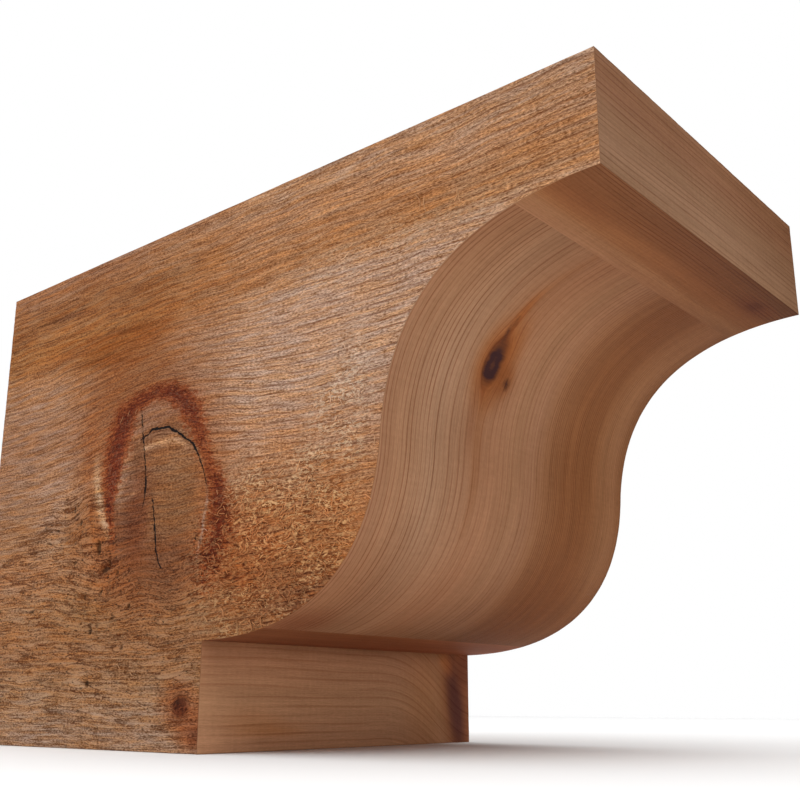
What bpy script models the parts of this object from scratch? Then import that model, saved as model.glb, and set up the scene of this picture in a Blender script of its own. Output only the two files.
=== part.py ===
# Carved rafter tail: one block of rough-sawn cedar whose free end is cut to an S curve.
# Metres, +Z up. The block lies along X with its nose at +X, and the origin is at the
# middle of its bounding box, on the underside that it stands on.
import math

import bpy

# The squared timber
timber_length = 0.3048
timber_width = 0.1524
timber_height = 0.19685

# The carved end
overhang = 0.1597      # from the step face out to the nose face
nose_height = 0.0370   # upright face at the free end, below the top
step_height = 0.0370   # upright face at the foot of the curve, above the underside

# The S curve, in shares of its own run and drop
inflection_share = 0.488   # height of the inflection between the curve's foot and its head
inflection_lean = math.radians(4.3)   # how far the curve leans out of upright there
end_handle_share = 0.277   # level handle at the head and the foot, of the run
middle_handle_share = 0.369   # handle on each side of the inflection, of the drop
curve_steps = 32   # straight facets in each half of the curve

cedar_colour = (0.34, 0.17, 0.085, 1.0)
cedar_roughness = 0.85


def clear_scene():
    for thing in list(bpy.data.objects):
        bpy.data.objects.remove(thing)


def cedar():
    """Dry, unfinished cedar, with no metal and hardly any shine."""
    material = bpy.data.materials.new("cedar")
    material.use_nodes = True
    shader = material.node_tree.nodes["Principled BSDF"]
    shader.inputs["Base Color"].default_value = cedar_colour
    shader.inputs["Roughness"].default_value = cedar_roughness
    shader.inputs["Metallic"].default_value = 0.0
    return material


def side_outline():
    """The outline seen from the side, as (point, handle before, handle after).

    It runs from the cut back end along the top to the nose, then down the S curve. A corner
    has no handles. The curve leaves the nose level, goes through one inflection and comes
    back level at the top of the step.
    """
    back = -timber_length / 2
    nose = timber_length / 2
    step = nose - overhang
    head = timber_height - nose_height
    drop = head - step_height
    middle = (nose - overhang / 2, step_height + inflection_share * drop)
    reach = middle_handle_share * drop
    lean = (reach * math.sin(inflection_lean), reach * math.cos(inflection_lean))
    above = (middle[0] + lean[0], middle[1] + lean[1])
    below = (middle[0] - lean[0], middle[1] - lean[1])
    level = end_handle_share * overhang
    return [
        ((back, 0.0), None, None),
        ((back, timber_height), None, None),
        ((nose, timber_height), None, None),
        ((nose, head), None, (nose - level, head)),
        (middle, above, below),
        ((step, step_height), (step + level, step_height), None),
        ((step, 0.0), None, None),
    ]


def draw_outline(curve, outline):
    """One closed Bezier spline through the outline, with straight sides between its corners."""
    spline = curve.splines.new("BEZIER")
    spline.bezier_points.add(len(outline) - 1)
    spline.use_cyclic_u = True
    for knot, (point, before, after) in zip(spline.bezier_points, outline):
        knot.co = (*point, 0.0)
        knot.handle_left_type = "FREE" if before else "VECTOR"
        knot.handle_right_type = "FREE" if after else "VECTOR"
        if before:
            knot.handle_left = (*before, 0.0)
        if after:
            knot.handle_right = (*after, 0.0)


def rafter_tail(collection):
    """The whole block: its side outline, extruded half a width to each side and stood upright."""
    curve = bpy.data.curves.new("rafter_tail", "CURVE")
    curve.dimensions = "2D"
    curve.fill_mode = "BOTH"
    curve.resolution_u = curve_steps
    curve.extrude = timber_width / 2
    draw_outline(curve, side_outline())
    block = bpy.data.objects.new("rafter_tail", curve)
    block.rotation_euler = (math.radians(90), 0.0, 0.0)
    block.data.materials.append(cedar())
    collection.objects.link(block)
    return block


def main():
    clear_scene()
    collection = bpy.data.collections.new("carved_rafter_tail")
    bpy.context.scene.collection.children.link(collection)
    rafter_tail(collection)


main()
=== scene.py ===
import math

import bpy
import numpy as np
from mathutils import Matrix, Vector


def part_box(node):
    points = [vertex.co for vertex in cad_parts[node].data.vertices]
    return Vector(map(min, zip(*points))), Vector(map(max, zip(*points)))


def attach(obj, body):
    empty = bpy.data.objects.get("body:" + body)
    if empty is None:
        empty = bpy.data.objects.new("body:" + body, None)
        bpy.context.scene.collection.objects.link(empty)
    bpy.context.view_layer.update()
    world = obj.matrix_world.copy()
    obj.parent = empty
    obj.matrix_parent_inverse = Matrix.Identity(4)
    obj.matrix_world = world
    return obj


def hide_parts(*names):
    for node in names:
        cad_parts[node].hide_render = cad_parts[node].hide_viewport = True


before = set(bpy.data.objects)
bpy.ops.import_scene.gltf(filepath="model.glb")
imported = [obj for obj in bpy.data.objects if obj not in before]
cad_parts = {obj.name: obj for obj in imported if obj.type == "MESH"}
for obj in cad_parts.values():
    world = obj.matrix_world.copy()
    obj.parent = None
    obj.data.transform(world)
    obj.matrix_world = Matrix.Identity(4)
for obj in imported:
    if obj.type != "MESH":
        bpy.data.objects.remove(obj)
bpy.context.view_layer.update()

# All shapes below are worked out in millimetres, in the frame of the solid: X runs out to the nose,
# Y across the timber, Z up. The near cheek is the one at -Y.
millimetre = 0.001
low, high = (np.array(corner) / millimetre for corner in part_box("rafter_tail"))

timber = {
    "overhang": 159.7,         # from the step face out to the nose face
    "noseHeight": 37.0,
    "stepHeight": 37.0,
    "inflectionShare": 0.488,  # height of the inflection, of the drop
    "inflectionLean": 4.3,     # degrees out of upright
    "endHandle": 0.277,        # of the overhang
    "middleHandle": 0.369,     # of the drop
    "arris": 0.3,              # first row of faces beside a corner
    "arrisWear": 0.1, "arrisChips": 0.08,
}


# Outline: the perimeter of a cheek, followed from the foot of the back cut up, along the top, down the
# nose, along the S curve, down the step and back along the underside

def cubicArc(start, startHandle, endHandle, end, t):
    # the four points weighted by (1-t)^3, 3(1-t)^2 t, 3(1-t) t^2 and t^3
    weights = [(1 - t) ** 3, 3 * (1 - t) ** 2 * t, 3 * (1 - t) * t ** 2, t ** 3]
    return sum(w[:, None] * np.array(p) for w, p in zip(weights, (start, startHandle, endHandle, end)))


stepX = high[0] - timber["overhang"]
noseZ = high[2] - timber["noseHeight"]
stepZ = timber["stepHeight"]


def sCurve(samples=600):
    # two cubic arcs that meet at the inflection, from the nose's foot down to the top of the step
    drop = noseZ - stepZ
    middle = np.array([high[0] - timber["overhang"] / 2, stepZ + timber["inflectionShare"] * drop])
    lean = math.radians(timber["inflectionLean"])
    reach = timber["middleHandle"] * drop * np.array([math.sin(lean), math.cos(lean)])
    level = np.array([timber["endHandle"] * timber["overhang"], 0.0])
    head, foot = np.array([high[0], noseZ]), np.array([stepX, stepZ])
    t = np.linspace(0, 1, samples)
    upper = cubicArc(head, head - level, middle + reach, middle, t)
    lower = cubicArc(middle, middle - reach, foot + level, foot, t)
    return np.vstack([upper, lower[1:]])


curve = sCurve()
outline = np.vstack([
    [(low[0], low[2]), (low[0], high[2]), (high[0], high[2])], curve, [(stepX, low[2]), (low[0], low[2])]])
around = np.concatenate([[0], np.cumsum(np.hypot(*np.diff(outline, axis=0).T))])
sideNames = ["back", "top", "nose", "curve", "step", "underside"]
curveSide, stepSide = sideNames.index("curve"), sideNames.index("step")
sideStarts = around[[0, 1, 2, 3, 2 + len(curve), 3 + len(curve), 4 + len(curve)]]
curveStart = sideStarts[curveSide]


def outlineAt(s):
    # the point (x, z) at the length s round the outline, straight between its corners
    return np.interp(s, around, outline[:, 0]), np.interp(s, around, outline[:, 1])


def inwardAt(s, reach=0.02):
    # unit vector into the wood, square to the outline, from two points a little apart along it
    s = np.clip(s, reach, around[-1] - reach)
    (x0, z0), (x1, z1) = outlineAt(s - reach), outlineAt(s + reach)
    length = np.hypot(x1 - x0, z1 - z0)
    return (z1 - z0) / length, -(x1 - x0) / length


def curveHeight(x):
    # height of the S curve over x
    return np.interp(x, curve[::-1, 0], curve[::-1, 1])


def curveReach(z):
    # x of the S curve at the height z
    return np.interp(z, curve[::-1, 1], curve[::-1, 0])


def sideOf(s):
    # number of the side that starts last at or before s
    return np.clip(np.searchsorted(sideStarts, s, side="right") - 1, 0, len(sideNames) - 1)


# Noise and brush marks, as whole arrays

def smoothNoise(u, v, seed):
    # value noise: random numbers on a square lattice, blended by smoothstep between neighbours
    size = 256
    table = np.random.default_rng(seed).random((size, size))
    i, j = np.floor(u).astype(int), np.floor(v).astype(int)
    f, g = u - i, v - j
    f, g = f * f * (3 - 2 * f), g * g * (3 - 2 * g)

    def corner(di, dj):
        return table[(i + di) % size, (j + dj) % size]

    return ((corner(0, 0) * (1 - f) + corner(1, 0) * f) * (1 - g)
            + (corner(0, 1) * (1 - f) + corner(1, 1) * f) * g)


def layeredNoise(u, v, seed, layers=3):
    # each layer is twice as fine and half as strong as the one before
    total, weight = 0.0, 0.0
    for n in range(layers):
        total = total + smoothNoise(u * 2 ** n, v * 2 ** n, seed + n) * 0.5 ** n
        weight += 0.5 ** n
    return total / weight


def softStep(value, start, end):
    # smoothstep from 0 at start to 1 at end
    t = np.clip((value - start) / (end - start), 0, 1)
    return t * t * (3 - 2 * t)


def turned(u, v, degrees):
    # u and v in axes turned by the angle: u cos + v sin, and v cos - u sin
    c, s = math.cos(math.radians(degrees)), math.sin(math.radians(degrees))
    return u * c + v * s, v * c - u * s


def ovalMark(u, v, at, size, tilt=0.0, edge=0.5):
    # cover of an oval brush mark: 1 inside, fading to 0 across its edge
    du, dv = turned(u - at[0], v - at[1], tilt)
    return softStep(np.hypot(du / size[0], dv / size[1]), 1 + edge, 1 - edge)


def onSegment(u, v, start, end):
    # the nearest place on a straight segment: its share of the way, (point - start) . way / |way|^2 held
    # between 0 and 1, and its distance
    wayU, wayV = end[0] - start[0], end[1] - start[1]
    t = np.clip(((u - start[0]) * wayU + (v - start[1]) * wayV) / (wayU ** 2 + wayV ** 2), 0, 1)
    return t, np.hypot(u - start[0] - t * wayU, v - start[1] - t * wayV)


def pathMark(u, v, points):
    # cover of a brush drawn along a path of (u, v, half width, strength): the largest, over its segments, of
    # strength * exp(-(distance / half width)^2)
    cover = np.zeros_like(u)
    for (*start, w0, k0), (*end, w1, k1) in zip(points, points[1:]):
        t, distance = onSegment(u, v, start, end)
        cover = np.maximum(cover, (k0 + t * (k1 - k0)) * np.exp(-(distance / (w0 + t * (w1 - w0))) ** 2))
    return cover


def bend(u, v, knot):
    # grain that parts round a knot: near its oval edge every line closes in on the knot's own level,
    # so v becomes level + (v - level) * (1 - exp(-grip * (r^2 - 1))), r being 1 on the oval
    du, dv = u - knot["at"][0], v - knot["at"][1]
    r2 = (du / knot["size"][0]) ** 2 + (dv / knot["size"][1]) ** 2
    parted = 1 - np.exp(-knot["grip"] * np.maximum(r2 - 1, 0))
    return knot["at"][1] + dv * parted


def lensField(u, v, lenses):
    # For each point: how deep it lies within the edge of the lens-shaped flake that holds it best, in
    # millimetres and below 0 outside, how much deeper than in the next best, where it lies along and across
    # that flake from -1 to 1, and the flake's tone. A lens is where |across| < 1 - along^2
    best, second = np.full(u.shape, -9.0), np.full(u.shape, -9.0)
    along, across, tone = np.zeros(u.shape), np.zeros(u.shape), np.zeros(u.shape)
    for u0, v0, halfLength, halfHeight, tilt, own in lenses:
        p, q = turned(u - u0, v - v0, tilt)
        p, q = p / halfLength, q / halfHeight
        depth = halfHeight * (1 - p * p - np.abs(q))
        closer = depth > best
        second = np.maximum(second, np.minimum(depth, best))
        along, across = np.where(closer, p, along), np.where(closer, q, across)
        tone = np.where(closer, own, tone)
        best = np.maximum(best, depth)
    return best, best - second, along, across, tone


# Near cheek: rough from the saw, with one big knot. Places are (x, z) in millimetres

cheek = {
    "smallKnot": {"at": (-16.9, 15.2), "size": (3.0, 2.4), "grip": 0.8},
    "slopes": [                # patches where the grain slopes: place, size, slope
        ((-87.0, 88.0), (11.0, 9.0), 0.4), ((-56.0, 57.0), (22.0, 14.0), 0.32),
        ((-20.0, 60.0), (16.0, 10.0), 0.2)],
    "recess": 0.15,            # the highest fibres stand this far inside the solid's face
    "ridge": 0.16,             # height of the grain's ridges
    "lineDepth": 0.09,         # hollow along each growth line
    "lineGap": 2.9,            # between growth lines
    "swell": 0.08,
    "tornDepth": 0.6,
    "flakes": 430, "flakeSeed": 5,
    "crackDepth": 0.45, "ringDepth": 0.22, "fuzzDepth": 0.25,
    "ringPath": [              # rust-brown bark ring: x, z, half width, strength
        (-60.0, 68.0, 2.4, 0.2), (-64.4, 79.6, 2.0, 0.5), (-66.8, 90.0, 2.6, 0.85),
        (-66.4, 101.0, 4.4, 1.0),
        (-64.4, 113.0, 5.9, 1.0), (-61.0, 123.4, 5.6, 1.0), (-54.0, 129.4, 3.4, 0.85),
        (-40.6, 131.8, 2.8, 0.8),
        (-31.0, 129.8, 3.2, 0.88), (-23.8, 125.2, 4.2, 0.88), (-18.6, 119.4, 4.7, 0.9),
        (-13.9, 110.9, 3.8, 0.68),
        (-8.2, 99.1, 3.0, 0.58), (-2.8, 89.3, 4.2, 0.8), (-0.8, 79.0, 5.8, 0.95), (-3.6, 68.0, 6.6, 0.85),
        (-6.8, 57.0, 6.4, 0.42)],
    "rustSpurs": [             # faint rust that runs out of the ring along the grain
        [(-1.0, 75.0, 4.0, 0.45), (10.0, 72.0, 3.4, 0.38), (26.0, 67.0, 2.6, 0.15)],
        [(-3.0, 62.0, 5.0, 0.45), (8.0, 58.0, 4.0, 0.34), (20.0, 52.0, 3.0, 0.12)]],
    "topCrack": [              # runs across the top of the knot's face: x, z, half width
        (-47.8, 114.3, 0.14), (-45.2, 115.2, 0.18), (-42.3, 117.0, 0.26), (-36.6, 116.4, 0.28),
        (-32.2, 116.4, 0.32),
        (-30.6, 115.0, 0.42), (-27.4, 113.8, 0.24), (-23.8, 111.2, 0.34), (-21.4, 109.8, 0.16),
        (-17.8, 107.9, 0.26),
        (-14.2, 102.8, 0.08), (-11.0, 97.0, 0.04), (-8.8, 91.0, -0.05)],
    "leftCrack": [
        (-49.8, 125.4, 0.00), (-48.9, 120.7, 0.08), (-47.8, 114.3, 0.22), (-46.7, 110.6, 0.04),
        (-45.6, 105.4, 0.02), (-44.6, 99.8, 0.12), (-44.2, 95.8, 0.42), (-44.5, 92.0, 0.16),
        (-45.2, 87.6, 0.00)],
    "lowCrack": [
        (-39.3, 89.2, 0.06), (-38.2, 83.6, 0.14), (-36.9, 77.4, 0.24), (-35.6, 69.6, 0.20),
        (-33.6, 65.4, 0.12),
        (-32.0, 63.6, 0.05)],
    "pits": [                  # x, z, half length, half height, depth
        (-85.4, 85.7, 0.8, 1.5, 0.8), (-72.5, 74.8, 1.3, 3.0, 1.4), (-63.8, 67.5, 0.7, 1.5, 1.0),
        (-66.8, 65.6, 2.6, 1.1, 0.9), (-79.5, 56.6, 0.8, 1.3, 1.0), (-68.4, 57.2, 0.8, 0.8, 0.8),
        (-73.9, 43.0, 1.0, 1.5, 1.2), (-115.5, 52.4, 1.5, 0.8, 0.8), (-53.1, 36.4, 0.8, 1.1, 0.8),
        (-73.1, 23.9, 0.7, 2.0, 1.2), (-50.5, 51.2, 0.7, 1.3, 0.8), (-87.6, 70.1, 0.8, 0.9, 0.8),
        (-90.2, 90.6, 0.6, 2.2, 0.7), (-58.7, 63.8, 0.7, 1.0, 0.7), (-101.4, 84.1, 1.2, 0.6, 0.7),
        (-60.0, 47.0, 1.2, 0.6, 0.8)],
    "pitTilt": 12,
}


def hill(u, v, at, size):
    # a smooth rise to 1 at its middle: exp(-(u/size)^2 - (v/size)^2)
    return np.exp(-((u - at[0]) / size[0]) ** 2 - ((v - at[1]) / size[1]) ** 2)


def cheekGrain(x, z):
    # along and across the grain: across is the height less the rise of the grain's lines there. They arch
    # over the big knot, sag under it, slope in the patches of the list and part round the small knot
    rise = 9.0 * hill(x, z, (-41, 128), (52, 30)) - 6.0 * hill(x, z, (-38, 56), (40, 17))
    for at, size, slope in cheek["slopes"]:
        rise = rise + slope * (x - at[0]) * hill(x, z, at, size)
    wander = 1.8 * (smoothNoise(x / 46, z / 30, 3) - 0.5) + 1.1 * (smoothNoise(x / 13, z / 17, 4) - 0.5)
    small = cheek["smallKnot"]
    inside = ovalMark(x, z - rise, small["at"], small["size"], 0, 0.3)
    across = bend(x, z - rise, small) + 0.6 * (z - rise - small["at"][1]) * inside
    return x + 0.25 * rise, across + wander


def growthNumber(x, z, across):
    # running number of the growth line: height across the grain / gap between lines, plus a slow unevenness
    uneven = 1.5 * smoothNoise(x / 150, across / 9, 5) + 0.45 * smoothNoise(x / 24, z / 5, 6)
    return across / cheek["lineGap"] + uneven


def cheekLines(x, z):
    # how strongly the growth lines show: 1 above and right of the knot, 0.35 at the left end, and 0.45 less
    # under the top, but not at the nose
    upper = 1 - 0.45 * softStep(z - 0.03 * x, 150, 162) * softStep(x, 126, 88)
    return (0.35 + 0.65 * softStep(x + 0.5 * (z - 110), -84, -26)) * upper


def tornShare(x, z):
    # where the saw tore the grain: below and to the left of the knot, as the sum of three soft patches
    lower = softStep(z, 92, 70) * softStep(x, 8, -18) * (0.6 + 0.4 * softStep(z, 4, 20))
    left = ovalMark(x, z, (-92, 82), (30, 18), 20, 0.5)
    below = ovalMark(x, z, (-62, 62), (52, 22), 4, 0.5)
    return np.clip(0.60 * lower + 0.60 * left + 0.60 * below, 0, 1) * (1 - inKnot(x, z))


def fuzzShare(x, z):
    # where loose fibres stand up: right of the knot, down to the curve, and a little near the top
    low = ovalMark(x, z, (24, 62), (34, 30), -25, 0.45)
    edge = 0.5 * ovalMark(x, z, (52, 92), (14, 34), -14, 0.6)
    high = 0.16 * ovalMark(x, z, (66, 160), (60, 9), 2, 0.5)
    return np.clip(low + edge + high, 0, 1)


def inKnot(x, z):
    # 1 on the oval face of the big knot
    return ovalMark(x, z, (-35.5, 94.0), (27.5, 34.5), -8, 0.12)


def tornLenses():
    # flakes at random over the torn part, as lensField takes them: along, across, half sizes, tilt, tone
    draw = np.random.default_rng(cheek["flakeSeed"])
    x, z = draw.uniform(low[0] - 4, 30, 4000), draw.uniform(-2, 100, 4000)
    chosen = np.flatnonzero(draw.random(4000) < tornShare(x, z))[:cheek["flakes"]]
    along, across = cheekGrain(x[chosen], z[chosen])
    number = len(chosen)
    return np.column_stack([along, across, draw.uniform(3.0, 9.5, number), draw.uniform(0.6, 1.6, number),
                            6 * draw.standard_normal(number), draw.uniform(-1, 1, number)])


def ovalDistance(u, v, ovals):
    # about how far the nearest oval (place, half sizes, offset) is, in millimetres, and below 0 inside:
    # (radius in units of its half sizes - 1) * its smaller half size + offset
    return np.minimum.reduce([
        (np.hypot((u - at[0]) / size[0], (v - at[1]) / size[1]) - 1) * min(size) + offset
        for at, size, offset in ovals])


def crackPlace(x, z, points):
    # distance from the crack's line, negative on its right, and the crack's half width there
    nearest, half = np.full(x.shape, 99.0), np.zeros(x.shape)
    for (x0, z0, w0), (x1, z1, w1) in zip(points, points[1:]):
        t, distance = onSegment(x, z, (x0, z0), (x1, z1))
        side = np.where((x1 - x0) * (z - z0) - (z1 - z0) * (x - x0) < 0, -1.0, 1.0)
        closer = distance < np.abs(nearest)
        nearest = np.where(closer, side * distance, nearest)
        half = np.where(closer, w0 + t * (w1 - w0), half)
    return nearest, half


def cheekCracks(x, z):
    # crackPlace of each of the three cracks, side by side
    found = [crackPlace(x, z, cheek[name]) for name in ("topCrack", "leftCrack", "lowCrack")]
    return np.stack([across for across, _ in found], -1), np.stack([half for _, half in found], -1)


lenses = tornLenses()


def cheekDepth(x, z):
    # how far the wood lies inside the solid's face: recess + ridges along the grain + a hollow along each
    # growth line + slow swells + torn flakes, pits, the bark ring and the cracks, each by its own depth
    along, across = cheekGrain(x, z)
    knot = inKnot(x, z)
    ridges = layeredNoise(along / 9, across / 1.7, 11, 2)
    depth = cheek["recess"] + cheek["ridge"] * ridges * (1 - 0.6 * knot)
    hollow = (0.5 + 0.5 * np.cos(2 * math.pi * (growthNumber(x, z, across) - 0.87))) ** 2
    hollow = hollow * (1 - 0.7 * knot) * (1 - tornShare(x, z)) * cheekLines(x, z)
    depth = depth + cheek["lineDepth"] * hollow
    depth = depth + cheek["fuzzDepth"] * fuzzShare(x, z)
    depth = depth + cheek["swell"] * layeredNoise(along / 50, across / 9, 15)
    inside, _, _, _, tone = lensField(along, across, lenses)
    sunk = softStep(inside, -0.2, 0.5) * (0.5 + 0.5 * tone)
    depth = depth + cheek["tornDepth"] * np.sqrt(tornShare(x, z)) * sunk
    for px, pz, halfLength, halfHeight, deep in cheek["pits"]:
        depth = depth + deep * ovalMark(x, z, (px, pz), (halfLength, halfHeight), cheek["pitTilt"], 0.45)
    depth = depth + cheek["ringDepth"] * np.clip(pathMark(x, z, cheek["ringPath"]), 0, 1) - 0.05 * knot
    across, half = cheekCracks(x, z)
    inside = (np.abs(across) - half).min(-1)
    return depth + cheek["crackDepth"] * softStep(inside, 0.5, -0.2)


def farDepth(x, z):
    # as cheekDepth, with ridges and swells alone
    return (cheek["recess"] + cheek["ridge"] * layeredNoise(x / 16, z / 2.4, 31)
            + cheek["swell"] * layeredNoise(x / 60, z / 10, 35))


# Band: all the faces that run across the timber's width, in (s, y)

def bandDepth(s, y):
    # rough sides by ridges along the grain, the planed ones nearly flat; all fade out towards the corners
    side = sideOf(s)
    x, z = outlineAt(s)
    rough = cheek["recess"] + cheek["ridge"] * layeredNoise(x / 16, y / 2.6 + 40 * side, 41)
    sawn = 0.10 + 0.16 * layeredNoise(z / 2.2, y / 18, 45)
    planed = 0.02 + 0.05 * smoothNoise(s / 22, y / 30, 49)
    depth = np.choose(side, [sawn, rough, planed, planed, planed, rough])
    corner = np.min(np.abs(np.asarray(s)[..., None] - sideStarts), axis=-1)
    worn = timber["arrisWear"] * (0.6 + 1.6 * layeredNoise(s / 3.0, y / 3.0, 51) ** 2)
    return np.where(corner < 0.01, worn, depth * softStep(corner, 0, 2.5))


# Mesh of the timber

def gridLine(stops, spacings):
    # numbers from the first stop to the last, each stretch divided evenly at about its own spacing
    pieces = [np.linspace(a, b, max(2, round((b - a) / gap) + 1))[:-1]
              for a, b, gap in zip(stops, stops[1:], spacings)]
    return np.concatenate([*pieces, [stops[-1]]])


def trimmedGrid(columns, rows):
    # A grid over the whole side view, kept where there is wood. Grid points within a third of a cell of
    # the S curve move onto it, and cells that it still crosses are cut where it meets their edges.
    # Gives the points, the quads and triangles, and for each point its place round the outline, or -1
    x, z = np.meshgrid(columns, rows)
    cellX, cellZ = np.meshgrid(np.gradient(columns), np.gradient(rows))
    tiny = 1e-6
    overVoid = x > stepX + tiny
    above = z - curveHeight(x)
    state = np.where(overVoid & (above < 0), -1, 1)
    state[(np.abs(x - stepX) < tiny) & (z <= stepZ + tiny)] = 0
    gapZ = np.abs(above) / cellZ
    gapX = np.abs(x - curveReach(z)) / cellX
    inReach = overVoid & (z > stepZ - tiny) & (z < noseZ + tiny)
    close = inReach & (np.minimum(gapX, gapZ) < 0.35)
    byZ = close & (gapZ <= gapX)
    byX = close & (gapX < gapZ)
    z = np.where(byZ, curveHeight(x), z)
    x = np.where(byX, curveReach(z), x)
    state[close] = 0
    onCurve = close | ((np.abs(x - high[0]) < tiny) & (np.abs(z - noseZ) < tiny))

    count = x.size
    index = np.arange(count).reshape(x.shape)
    crossH = state[:, :-1] * state[:, 1:] < 0
    crossV = state[:-1] * state[1:] < 0
    cutH = np.full(crossH.shape, -1)
    cutV = np.full(crossV.shape, -1)
    cutH[crossH] = count + np.arange(crossH.sum())
    cutV[crossV] = count + crossH.sum() + np.arange(crossV.sum())
    rowZ, columnX = z[:, :-1][crossH], x[:-1][crossV]
    points = np.vstack([
        np.column_stack([x.ravel(), z.ravel()]),
        np.column_stack([curveReach(rowZ), rowZ]),
        np.column_stack([columnX, curveHeight(columnX)])])

    cornerIndex = np.stack([index[:-1, :-1], index[:-1, 1:], index[1:, 1:], index[1:, :-1]], -1)
    cornerState = np.stack([state[:-1, :-1], state[:-1, 1:], state[1:, 1:], state[1:, :-1]], -1)
    solid = (cornerState > 0).any(-1)
    whole = solid & (cornerState >= 0).all(-1)
    cut = solid & ~whole
    slots = np.empty((cut.sum(), 8), int)
    slots[:, 0::2] = np.where(cornerState[cut] >= 0, cornerIndex[cut], -1)
    slots[:, 1::2] = np.stack([cutH[:-1][cut], cutV[:, 1:][cut], cutH[1:][cut], cutV[:, :-1][cut]], -1)
    order = np.argsort(slots < 0, axis=1, kind="stable")
    slots = np.take_along_axis(slots, order, 1)
    fans = np.concatenate([slots[:, [0, n, n + 1]] for n in range(1, 7)])
    triangles = fans[(fans >= 0).all(1)]
    quads = cornerIndex[whole]

    place = np.full(len(points), -1.0)
    px, pz = points.T
    curved = np.concatenate([onCurve.ravel(), np.ones(len(points) - count, bool)])
    bySum = np.interp(-(px + pz), -(curve[:, 0] + curve[:, 1]), around[3:3 + len(curve)])
    place[np.abs(pz - low[2]) < tiny] = (sideStarts[5] + stepX - px)[np.abs(pz - low[2]) < tiny]
    place[np.abs(pz - high[2]) < tiny] = (sideStarts[1] + px - low[0])[np.abs(pz - high[2]) < tiny]
    place[np.abs(px - low[0]) < tiny] = (pz - low[2])[np.abs(px - low[0]) < tiny]
    onNose = (np.abs(px - high[0]) < tiny) & (pz >= noseZ - tiny)
    place[onNose] = (sideStarts[2] + high[2] - pz)[onNose]
    onStep = (np.abs(px - stepX) < tiny) & (pz <= stepZ + tiny)
    place[onStep] = (sideStarts[4] + stepZ - pz)[onStep]
    place[curved] = bySum[curved]

    used = np.unique(np.concatenate([quads.ravel(), triangles.ravel()]))
    renumber = np.full(len(points), -1)
    renumber[used] = np.arange(len(used))
    return points[used], renumber[quads], renumber[triangles], place[used]


def seam(rimIndex, rimPlace, ringIndex, ringPlace):
    # Triangles between two closed lines of points that follow the same outline. Each edge of one line
    # is joined to the point of the other that has been reached when both are walked in order
    end = around[-1]
    rimNext = np.append(rimPlace[1:], end)
    ringNext = np.append(ringPlace[1:], end)
    ringWithEnd = np.append(ringIndex, ringIndex[0])
    apexOnRing = ringWithEnd[np.searchsorted(np.append(ringPlace, end), rimNext, side="right") - 1]
    apexOnRim = rimIndex[np.searchsorted(rimPlace, ringNext, side="left") - 1]
    onRim = np.column_stack([rimIndex, np.roll(rimIndex, -1), apexOnRing])
    onRing = np.column_stack([apexOnRim, np.roll(ringIndex, -1), ringIndex])
    return np.vstack([onRim, onRing])


def ringStations(spacings, stops):
    # places round the outline: a row close to each corner, and rows at each stretch's own spacing
    stations = []
    for name, start, end in zip(sideNames, sideStarts, sideStarts[1:]):
        inner = [start + timber["arris"], *stops.get(name, ()), end - timber["arris"]]
        stations += [[start], gridLine(inner, spacings[name])]
    return np.concatenate(stations)


meshSizes = {
    "nearColumns": (1.6, 0.72, 0.72, 1.6),
    "nearRows": 0.8,
    "farColumns": 2.8,
    "farRows": 1.5,
    "acrossStops": (-46.0, -10.0),
    "across": (2.0, 0.9, 2.1),
    "sides": {"back": (3.0,), "top": (3.2,), "nose": (3.4,), "curve": (2.6, 1, 2.6, 1.1, 2.6, 1, 2.6),
              "step": (3.4,), "underside": (3.2,)},
    # down the curve: a double row at each change of grain, and closer rows over the knot
    "curveStops": (28.65, 28.75, 60.0, 102.0, 196.55, 196.65),
}


def rimOrder(place):
    # the points on a rim, in their order round the outline
    onRim = np.flatnonzero(place >= 0)
    return onRim[np.argsort(place[onRim])]


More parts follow.
